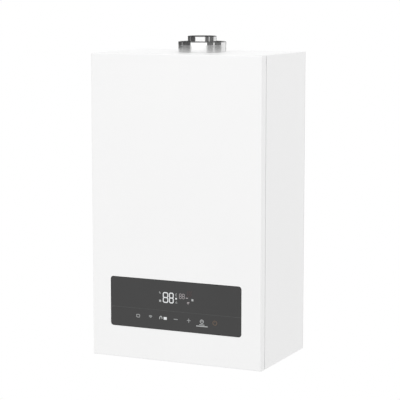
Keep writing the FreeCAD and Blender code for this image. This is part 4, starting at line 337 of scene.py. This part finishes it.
mixColours = {"factor": 0, "first": 6, "second": 7, "result": 2}  # the colour sockets of a Mix node


def patternNode(tree, recipe, coords):
    kind = recipe.get("pattern", "patches")
    node = tree.nodes.new(patterns["textures"][kind])
    node.inputs["Scale"].default_value = recipe["patchScale"]
    linkTo(tree, coords, node.inputs["Vector"])
    if kind == "flakes":
        shade = tree.nodes.new("ShaderNodeSeparateColor")
        linkTo(tree, node.outputs["Color"], shade.inputs[0])
        return shade.outputs[0]
    if kind == "tracks":
        node.inputs["Mortar Size"].default_value = patterns["trackGap"]
    else:
        node.inputs["Detail"].default_value = patterns["patchDetail"]
    return node.outputs["Fac"]


# paints a flat tone over a level band of the surface: the painted highlight along the glass's crease
def levelBand(tree, band, colour):
    coords = tree.nodes.new("ShaderNodeTexCoord")
    parts = tree.nodes.new("ShaderNodeSeparateXYZ")
    linkTo(tree, coords.outputs["Object"], parts.inputs[0])
    inside = tree.nodes.new("ShaderNodeMath")
    inside.operation = "COMPARE"
    inside.inputs[1].default_value = band["level"]
    inside.inputs[2].default_value = band["half"]
    linkTo(tree, parts.outputs["Z"], inside.inputs[0])
    mix = tree.nodes.new("ShaderNodeMix")
    mix.data_type = "RGBA"
    linkTo(tree, inside.outputs[0], mix.inputs[mixColours["factor"]])
    linkTo(tree, colour, mix.inputs[mixColours["first"]])
    mix.inputs[mixColours["second"]].default_value = (*band["tone"], 1.0)
    return mix.outputs[mixColours["result"]]


def makeFinish(name, recipe):
    mat, tree, shader = newFinish(name)
    shader.inputs["Metallic"].default_value = recipe.get("metal", 0.0)
    shader.inputs["Transmission Weight"].default_value = recipe.get("clear", 0.0)
    coords = tree.nodes.new("ShaderNodeTexCoord").outputs["Object"]
    if "stretch" in recipe:
        mapping = tree.nodes.new("ShaderNodeMapping")
        mapping.inputs["Scale"].default_value = recipe["stretch"]
        linkTo(tree, coords, mapping.inputs["Vector"])
        coords = mapping.outputs["Vector"]
    pattern = patternNode(tree, recipe, coords)
    ramp = tree.nodes.new("ShaderNodeValToRGB")
    for element, tone, end in zip(ramp.color_ramp.elements, recipe["tones"], patterns["toneEnds"]):
        element.color = (*tone, 1.0)
        element.position = end
    linkTo(tree, pattern, ramp.inputs["Fac"])
    colour = ramp.outputs["Color"]
    if "band" in recipe:
        colour = levelBand(tree, recipe["band"], colour)
    linkTo(tree, colour, shader.inputs["Base Color"])
    span = tree.nodes.new("ShaderNodeMapRange")
    span.inputs["To Min"].default_value, span.inputs["To Max"].default_value = recipe["rough"]
    linkTo(tree, pattern, span.inputs["Value"])
    linkTo(tree, span.outputs["Result"], shader.inputs["Roughness"])
    grain = tree.nodes.new("ShaderNodeTexNoise")
    grain.inputs["Scale"].default_value = recipe["reliefScale"]
    grain.inputs["Detail"].default_value = patterns["grainDetail"]
    linkTo(tree, coords, grain.inputs["Vector"])
    bump = tree.nodes.new("ShaderNodeBump")
    bump.inputs["Strength"].default_value = patterns["grainStrength"]
    bump.inputs["Distance"].default_value = recipe["relief"]
    linkTo(tree, grain.outputs["Fac"], bump.inputs["Height"])
    linkTo(tree, bump.outputs["Normal"], shader.inputs["Normal"])
    return mat


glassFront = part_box("touch_glass")[0][1]
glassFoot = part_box("touch_glass")[0][2]
# painted highlight along the crease of the touch glass: its height above the glass's lower edge, half width
# and tone
glassCreaseHighlight = {"height": 0.0417, "half": 0.0008, "tone": (0.052, 0.053, 0.053)}

# finishes that depart from their slot's
nodeFinishes = {
    # darker and glossier than the collar
    "flue_pipe": {
        **finishes["polished_alloy"],
        "tones": ((0.66, 0.66, 0.66), (0.72, 0.72, 0.72)), "rough": (0.10, 0.14),
    },
    # shinier than the collar that it goes round
    "collar_hem": {
        **finishes["polished_alloy"],
        "tones": ((0.74, 0.74, 0.74), (0.79, 0.79, 0.79)), "rough": (0.06, 0.09), "relief": 0.000002,
    },
    # darker than the rims that it edges: near-black metal, a painted dark reflection along each rim
    "rim_bead_painted_dark": {
        "tones": ((0.07, 0.07, 0.07), (0.11, 0.11, 0.11)), "patchScale": 50.0,
        "rough": (0.16, 0.24), "reliefScale": 300.0, "relief": 0.000004, "metal": 1.0,
    },
    # with a painted highlight along the crease line across it, paler than the glass
    "touch_glass": {
        **finishes["dark_glass"],
        "band": {**glassCreaseHighlight, "level": glassFoot + glassCreaseHighlight["height"]},
    },
}
slotFinish = {name: makeFinish(name, recipe) for name, recipe in finishes.items()}
nodeFinish = {name: makeFinish(f"{name}_finish", recipe) for name, recipe in nodeFinishes.items()}
for entry in frame["record"]["subparts"]:
    node = entry["node"]
    mesh = frame["nodes"][node].data
    mesh.materials.clear()
    mesh.materials.append(nodeFinish.get(node, slotFinish[entry["material_slot"]]))

# marks lit through the touch glass, in millimetres: x from the centre line, z from the glass's lower edge
# a line is its width and its points, a dot is its x, z and size
glassMarks = {
    "thick": 0.12,
    "sink": 0.02,
    "roundness": 2,
    "baseTone": (0.02, 0.02, 0.02, 1.0),
    "rough": 0.3,
    "grain": 900.0,
    "dimmest": 0.86,
    "lights": {
        "digitLight": {
            "tone": (0.92, 0.94, 0.95), "glow": 0.86,
            "digits": {"low": 60.1, "top": 81.3, "corner": 2.1, "sides": ((-27.8, -17.0), (-13.0, -4.0))},
            "digitWidth": 2.4,
            "dots": [(2.8, 70.2, 3.6)],
            "lines": [(7.4, ((-23.3, 22.0), (-23.3, 27.8)))],
        },
        "smallDigitLight": {
            "tone": (0.84, 0.76, 0.78), "glow": 0.42,
            "digits": {"low": 71.2, "top": 81.6, "corner": 1.3, "sides": ((10.5, 15.3), (17.5, 22.5))},
            "digitWidth": 1.2,
            "lines": [
                (1.9, ((25.8, 73.3), (31.0, 73.3))),
                (2.5, ((28.6, 63.2), (34.0, 64.2))),
                (2.4, ((30.4, 61.0), (31.8, 61.0))),
            ],
        },
        "iconLight": {
            "tone": (0.80, 0.82, 0.82), "glow": 0.55,
            "dots": [(-35.3, 62.6, 4.6), (41.4, 70.0, 4.6)],
            "lines": [
                (2.0, ((-36.6, 22.2), (-36.4, 26.2), (-34.6, 28.6),
                       (-32.4, 28.4), (-31.2, 26.2), (-31.0, 23.4))),
                (1.7, ((57.5, 18.4), (69.5, 18.4))),
                (2.0, ((50.0, 15.2), (77.0, 15.2))),
            ],
            "arcs": [
                {"width": 1.4, "centre": (63.5, 25.4), "radii": (3.8,), "degrees": (0, 360), "steps": 24},
                {"width": 1.2, "centre": (63.5, 25.0), "radii": (1.8,), "degrees": (20, 160), "steps": 8},
            ],
        },
        "faintLight": {
            "tone": (0.80, 0.82, 0.82), "glow": 0.38,
            "rings": [{"width": 1.8, "left": -92.3, "low": 22.2, "right": -85.0, "top": 28.0, "corner": 0.8}],
            "arcs": [
                {"width": 1.4, "centre": (-58.6, 22.0), "radii": (2.2, 4.2, 6.2),
                 "degrees": (48, 132), "steps": 8},
            ],
            "lines": [
                (1.7, ((-3.0, 25.0), (6.6, 25.0))),
                (1.5, ((28.6, 25.0), (36.8, 25.0))),
                (1.5, ((32.7, 20.6), (32.7, 29.4))),
                (2.4, ((-37.4, 82.4), (-34.6, 78.4))),
                (1.8, ((4.4, 81.0), (2.2, 80.4), (1.8, 77.4), (3.8, 75.4))),
                (1.6, ((1.4, 60.6), (3.3, 64.4), (5.2, 60.6), (1.4, 60.6))),
            ],
        },
        "powerLight": {
            "tone": (0.80, 0.50, 0.30), "glow": 0.11,
            "arcs": [
                {"width": 2.0, "centre": (93.9, 25.0), "radii": (4.6,), "degrees": (115, 425), "steps": 24},
            ],
            "lines": [(1.7, ((93.9, 26.0), (93.9, 31.0)))],
        },
        "heatLight": {
            "tone": (0.45, 0.12, 0.12), "glow": 0.10,
            "waves": {
                "starts": (27.4, 31.6, 35.8),
                "points": ((0.0, 76.4), (3.0, 80.6), (1.2, 85.0), (4.2, 89.0)),
            },
            "waveWidth": 1.1,
        },
    },
}


def arcPoints(centre, radius, degrees, steps):
    start, end = degrees
    turns = [math.radians(start + (end - start) * step / steps) for step in range(steps + 1)]
    return [(centre[0] + radius * math.cos(turn), centre[1] + radius * math.sin(turn)) for turn in turns]


def squareRing(left, low, right, top, corner):
    lowerHalf = [(left + corner, low), (right - corner, low), (right, low + corner), (right, top - corner)]
    upperHalf = [(right - corner, top), (left + corner, top), (left, top - corner), (left, low + corner)]
    return lowerHalf + upperHalf + lowerHalf[:1]


def digitRings(low, top, corner, sides):
    middle = (low + top) / 2
    levels = ((low, middle), (middle, top))
    return [squareRing(left, foot, right, head, corner) for left, right in sides for foot, head in levels]


def waveLines(starts, points):
    return [[(start + x, z) for x, z in points] for start in starts]


def markStrokes(light):
    strokes = [(width, points) for width, points in light.get("lines", ())]
    for x, z, size in light.get("dots", ()):
        strokes.append((size, [(x - size / 2, z), (x + size / 2, z)]))
    for arc in light.get("arcs", ()):
        for radius in arc["radii"]:
            strokes.append((arc["width"], arcPoints(arc["centre"], radius, arc["degrees"], arc["steps"])))
    for ring in light.get("rings", ()):
        sides = {label: size for label, size in ring.items() if label != "width"}
        strokes.append((ring["width"], squareRing(**sides)))
    if "digits" in light:
        strokes += [(light["digitWidth"], ring) for ring in digitRings(**light["digits"])]
    if "waves" in light:
        strokes += [(light["waveWidth"], line) for line in waveLines(**light["waves"])]
    return strokes


def lightFinish(name, setup, light):
    mat, tree, shader = newFinish(name)
    shader.inputs["Base Color"].default_value = setup["baseTone"]
    shader.inputs["Roughness"].default_value = setup["rough"]
    shader.inputs["Emission Strength"].default_value = light["glow"]
    noise = tree.nodes.new("ShaderNodeTexNoise")
    noise.inputs["Scale"].default_value = setup["grain"]
    coords = tree.nodes.new("ShaderNodeTexCoord")
    linkTo(tree, coords.outputs["Object"], noise.inputs["Vector"])
    ramp = tree.nodes.new("ShaderNodeValToRGB")
    for element, level in zip(ramp.color_ramp.elements, (setup["dimmest"], 1.0)):
        element.color = (*(level * part for part in light["tone"]), 1.0)
    linkTo(tree, noise.outputs["Fac"], ramp.inputs["Fac"])
    linkTo(tree, ramp.outputs["Color"], shader.inputs["Emission Color"])
    return mat


def plainMesh(source):
    depsgraph = bpy.context.evaluated_depsgraph_get()
    return bpy.data.meshes.new_from_object(source.evaluated_get(depsgraph))


def strokeMesh(points, width, roundness):
    data = bpy.data.curves.new("stroke", "CURVE")
    data.dimensions = "3D"
    data.bevel_depth = width / 2 * mm
    data.bevel_resolution = roundness
    data.use_fill_caps = True
    line = data.splines.new("POLY")
    line.points.add(len(points) - 1)
    for point, (x, z) in zip(line.points, points):
        point.co = (x * mm, 0.0, z * mm, 1.0)
    holder = bpy.data.objects.new("stroke", data)
    scene.collection.objects.link(holder)
    mesh = plainMesh(holder)
    bpy.data.objects.remove(holder)
    bpy.data.curves.remove(data)
    return mesh


def addPiece(name, mesh, mat, body="casing"):
    mesh.name = name
    mesh.materials.clear()
    mesh.materials.append(mat)
    piece = bpy.data.objects.new(name, mesh)
    scene.collection.objects.link(piece)
    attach(piece, body)
    return piece


def joinMeshes(name, parts):
    total = bmesh.new()
    for mesh, matrix in parts:
        mesh.transform(matrix)
        total.from_mesh(mesh)
        bpy.data.meshes.remove(mesh)
    joined = bpy.data.meshes.new(name)
    total.to_mesh(joined)
    total.free()
    return joined


def drawMarks(setup):
    depth = (setup["sink"] - setup["thick"] / 2) * mm
    seat = Matrix.Translation((0.0, glassFront + depth, glassFoot))
    for name, light in setup["lights"].items():
        parts = []
        for width, points in markStrokes(light):
            flatten = Matrix.Diagonal((1.0, setup["thick"] / width, 1.0, 1.0))
            parts.append((strokeMesh(points, width, setup["roundness"]), seat @ flatten))
        addPiece(name, joinMeshes(name, parts), lightFinish(name, setup, light))


drawMarks(glassMarks)
print("glass marks drawn")


# grown pieces: a tree sets one shape on each seed point, with the shape's Z along the seed's axis
def newTree(name, sizes):
    tree = bpy.data.node_groups.new(name, "GeometryNodeTree")
    tree.interface.new_socket("Seeds", in_out="INPUT", socket_type="NodeSocketGeometry")
    for size in sizes:
        tree.interface.new_socket(size, in_out="INPUT", socket_type="NodeSocketFloat")
    tree.interface.new_socket("Finish", in_out="INPUT", socket_type="NodeSocketMaterial")
    tree.interface.new_socket("Pieces", in_out="OUTPUT", socket_type="NodeSocketGeometry")
    return tree, tree.nodes.new("NodeGroupInput").outputs


def addNode(tree, kind, values, **settings):
    node = tree.nodes.new(kind)
    for name, value in settings.items():
        setattr(node, name, value)
    for name, value in values.items():
        for source in value if isinstance(value, list) else [value]:
            if isinstance(source, bpy.types.NodeSocket):
                linkTo(tree, source, node.inputs[name])
            else:
                node.inputs[name].default_value = source
    return node.outputs[0]


def times(tree, size, factor):
    return addNode(tree, "ShaderNodeMath", {0: size, 1: factor}, operation="MULTIPLY")


def spread(tree, x, y, z):
    return addNode(tree, "ShaderNodeCombineXYZ", {"X": x, "Y": y, "Z": z})


def lifted(tree, shape, height):
    move = spread(tree, 0.0, 0.0, height)
    return addNode(tree, "GeometryNodeTransform", {"Geometry": shape, "Translation": move})


def block(tree, wide, deep, tall, height):
    cube = addNode(tree, "GeometryNodeMeshCube", {"Size": spread(tree, wide, deep, tall)})
    return lifted(tree, cube, height)


def circle(tree, points, radius):
    return addNode(tree, "GeometryNodeCurvePrimitiveCircle", {"Resolution": points, "Radius": radius})


def zUpright(tree, curve):
    return addNode(tree, "GeometryNodeSetCurveNormal", {"Curve": curve}, mode="Z_UP")


def sweep(tree, curve, section, caps=False):
    sockets = {"Curve": curve, "Profile Curve": section, "Fill Caps": caps}
    return addNode(tree, "GeometryNodeCurveToMesh", sockets)


def finishTree(tree, given, shape):
    axis = addNode(tree, "GeometryNodeInputNamedAttribute", {"Name": "axis"}, data_type="FLOAT_VECTOR")
    turn = addNode(tree, "FunctionNodeAlignRotationToVector", {"Vector": axis}, axis="Z")
    seats = {"Points": given["Seeds"], "Instance": shape, "Rotation": turn}
    placed = addNode(tree, "GeometryNodeInstanceOnPoints", seats)
    real = addNode(tree, "GeometryNodeRealizeInstances", {"Geometry": placed})
    dressed = addNode(tree, "GeometryNodeSetMaterial", {"Geometry": real, "Material": given["Finish"]})
    linkTo(tree, dressed, tree.nodes.new("NodeGroupOutput").inputs["Pieces"])
    return tree


def growPieces(name, tree, seeds, axis, values, mat):
    mesh = bpy.data.meshes.new(f"{name}Seeds")
    mesh.from_pydata(seeds, [], [])
    for row in mesh.attributes.new("axis", "FLOAT_VECTOR", "POINT").data:
        row.vector = axis
    holder = bpy.data.objects.new(f"{name}Seeds", mesh)
    scene.collection.objects.link(holder)
    grower = holder.modifiers.new("grower", "NODES")
    grower.node_group = tree
    inputs = [item for item in tree.interface.items_tree if item.in_out == "INPUT"]
    sockets = {item.name: item.identifier for item in inputs}
    for label, value in {**values, "Finish": mat}.items():
        grower[sockets[label]] = value
    grown = plainMesh(holder)
    holder.modifiers.remove(grower)
    bpy.data.objects.remove(holder)
    bpy.data.meshes.remove(mesh)
    return addPiece(name, grown, mat)


def pick(setup, labels):
    return {label: setup[label] for label in labels}


# the separate solids of a node, each as its corner points
def looseGroups(node):
    mergeGap = 0.001 * mm
    work = bmesh.new()
    work.from_mesh(frame["nodes"][node].data)
    bmesh.ops.remove_doubles(work, verts=work.verts, dist=mergeGap)
    left = set(work.verts)
    groups = []
    while left:
        stack = [left.pop()]
        group = []
        while stack:
            vert = stack.pop()
            group.append(tuple(vert.co))
            for edge in vert.link_edges:
                other = edge.other_vert(vert)
                if other in left:
                    left.discard(other)
                    stack.append(other)
        groups.append(sorted(group))
    work.free()
    return sorted(groups)


def groupBox(group):
    columns = list(zip(*group))
    return Vector([min(column) for column in columns]), Vector([max(column) for column in columns])


def topMiddle(node):
    low, high = (Vector(corner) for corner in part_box(node))
    return (low.x + high.x) / 2, (low.y + high.y) / 2, high.z


# pan-head screws with a cross recess, in place of the plain ones
screws = {
    "headRadius": 4.0 * mm,
    "headHeight": 2.4 * mm,
    "shankRadius": 2.0 * mm,
    "slotLength": 4.6 * mm,
    "slotWidth": 0.95 * mm,
    "headSides": 24,
    "headRings": 14,
    "shankSides": 16,
    "trim": 3.0,  # the block that cuts the head flat, in head radii
    "rows": {"chamberScrewHeads": "chamber_screws", "casingScrewHeads": "casing_screws"},
}
screwSizes = ("headRadius", "headHeight", "shankRadius", "slotLength", "slotWidth")


def makeScrewTree(setup):
    tree, given = newTree("crossScrew", (*screwSizes, "shankLength"))
    radius, height = given["headRadius"], given["headHeight"]
    length, width = given["slotLength"], given["slotWidth"]
    rounding = {"Segments": setup["headSides"], "Rings": setup["headRings"], "Radius": 1.0}
    ball = addNode(tree, "GeometryNodeMeshUVSphere", rounding)
    scale = spread(tree, radius, radius, height)
    dome = addNode(tree, "GeometryNodeTransform", {"Geometry": ball, "Scale": scale})
    wide = times(tree, radius, setup["trim"])
    under = block(tree, wide, wide, wide, times(tree, wide, -0.5))
    slots = [block(tree, length, width, height, height), block(tree, width, length, height, height)]
    cutters = {"Mesh 1": dome, "Mesh 2": [under, *slots]}
    head = addNode(tree, "GeometryNodeMeshBoolean", cutters, operation="DIFFERENCE", solver="EXACT")
    depth = given["shankLength"]
    rodSizes = {"Vertices": setup["shankSides"], "Radius": given["shankRadius"], "Depth": depth}
    rod = addNode(tree, "GeometryNodeMeshCylinder", rodSizes)
    shank = lifted(tree, rod, times(tree, depth, -0.5))
    screw = addNode(tree, "GeometryNodeJoinGeometry", {"Geometry": [head, shank]})
    return finishTree(tree, given, screw)


def setScrews(setup):
    tree = makeScrewTree(setup)
    steel = slotFinish["screw_steel"]
    headHeight = setup["headHeight"]
    for name, node in setup["rows"].items():
        boxes = [groupBox(group) for group in looseGroups(node)]
        seeds = [((low.x + high.x) / 2, low.y + headHeight, (low.z + high.z) / 2) for low, high in boxes]
        low, high = boxes[0]
        sizes = {**pick(setup, screwSizes), "shankLength": high.y - low.y - headHeight}
        piece = growPieces(name, tree, seeds, frontward, sizes, steel)
        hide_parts(node)
        print(name, len(seeds))


setScrews(screws)

# pipe threads on the water and gas nipples
threads = {
    "node": "connection_nipples",
    "names": ("smallThreads", "largeThreads"),
    "pitch": 1.814 * mm,
    "ridge": 0.55 * mm,
    "sink": 0.25 * mm,
    "lead": 1.0 * mm,
    "length": 25.6 * mm,
    "turnPoints": 32,
    "ridgeSides": 4,
    "radiusDigits": 5,  # nipples whose radii agree to so many digits share a piece
}


def makeThreadTree(setup):
    tree, given = newTree("pipeThread", ("radius", "pitch", "length", "ridge"))
    length, radius = given["length"], given["radius"]
    turns = addNode(tree, "ShaderNodeMath", {0: length, 1: given["pitch"]}, operation="DIVIDE")
    path = {"Resolution": setup["turnPoints"], "Rotations": turns, "Height": length}
    helix = addNode(tree, "GeometryNodeCurveSpiral", {**path, "Start Radius": radius, "End Radius": radius})
    section = circle(tree, setup["ridgeSides"], given["ridge"])
    return finishTree(tree, given, sweep(tree, zUpright(tree, helix), section, caps=True))


def cutThreads(setup):
    tree = makeThreadTree(setup)
    ends = {}
    for group in looseGroups(setup["node"]):
        low, high = groupBox(group)
        x, y, start = (low.x + high.x) / 2, (low.y + high.y) / 2, low.z + setup["lead"]
        reach = max(math.hypot(spot[0] - x, spot[1] - y) for spot in group if spot[2] < start)
        ends.setdefault(round(reach, setup["radiusDigits"]), []).append((x, y, start))
    for name, radius in zip(setup["names"], sorted(ends)):
        sizes = {**pick(setup, ("pitch", "length", "ridge")), "radius": radius - setup["sink"]}
        growPieces(name, tree, ends[radius], upward, sizes, slotFinish["brass"])
        print(name, len(ends[radius]), "of radius", radius)


cutThreads(threads)

# rolled beads on the rims of the flue pipe and the air collar
rimBeads = {
    "ringPoints": 96,
    "beadSides": 16,
    "rims": {
        "flueBead": {"node": "flue_pipe", "ringRadius": 30.75 * mm, "beadRadius": 0.9 * mm},
        "collarBead": {"node": "air_collar", "ringRadius": 51.05 * mm, "beadRadius": 1.0 * mm},
    },
}
beadSizes = ("ringRadius", "beadRadius")


def makeBeadTree(setup):
    tree, given = newTree("rimBead", beadSizes)
    ring = circle(tree, setup["ringPoints"], given["ringRadius"])
    section = circle(tree, setup["beadSides"], given["beadRadius"])
    swept = sweep(tree, ring, section)
    return finishTree(tree, given, addNode(tree, "GeometryNodeSetShadeSmooth", {"Geometry": swept}))


def rollBeads(setup):
    tree = makeBeadTree(setup)
    for name, bead in setup["rims"].items():
        x, y, top = topMiddle(bead["node"])
        seed = (x, y, top - bead["beadRadius"])
        sizes = pick(bead, beadSizes)
        # each bead takes the near-black finish, a painted dark reflection line along its rim
        growPieces(name, tree, [seed], upward, sizes, nodeFinish["rim_bead_painted_dark"])


rollBeads(rimBeads)

# folded hem round the air collar, under its bead
collarHem = {
    "node": "air_collar",
    "ringRadius": 51.85 * mm,
    "thick": 0.5 * mm,
    "height": 5.2 * mm,
    "drop": 1.4 * mm,
    "ringPoints": 128,
    "sharpFrom": 0.8,  # edges that bend by more than this angle stay crisp
}
hemSizes = ("ringRadius", "thick", "height")


def makeHemTree(setup):
    tree, given = newTree("foldedHem", hemSizes)
    ring = zUpright(tree, circle(tree, setup["ringPoints"], given["ringRadius"]))
    strip = {"Width": given["thick"], "Height": given["height"]}
    swept = sweep(tree, ring, addNode(tree, "GeometryNodeCurvePrimitiveQuadrilateral", strip))
    smooth = addNode(tree, "GeometryNodeSetShadeSmooth", {"Geometry": swept})
    bend = addNode(tree, "GeometryNodeInputMeshEdgeAngle", {})
    corner = addNode(tree, "FunctionNodeCompare", {0: bend, 1: setup["sharpFrom"]}, operation="GREATER_THAN")
    edges = {"Geometry": smooth, "Selection": corner, "Shade Smooth": False}
    return finishTree(tree, given, addNode(tree, "GeometryNodeSetShadeSmooth", edges, domain="EDGE"))


def foldHem(setup):
    x, y, top = topMiddle(setup["node"])
    seed = (x, y, top - setup["drop"] - setup["height"] / 2)
    sizes = pick(setup, hemSizes)
    tree = makeHemTree(setup)
    growPieces("collarHem", tree, [seed], upward, sizes, nodeFinish["collar_hem"])


foldHem(collarHem)
print("screws, threads, beads and hem grown")
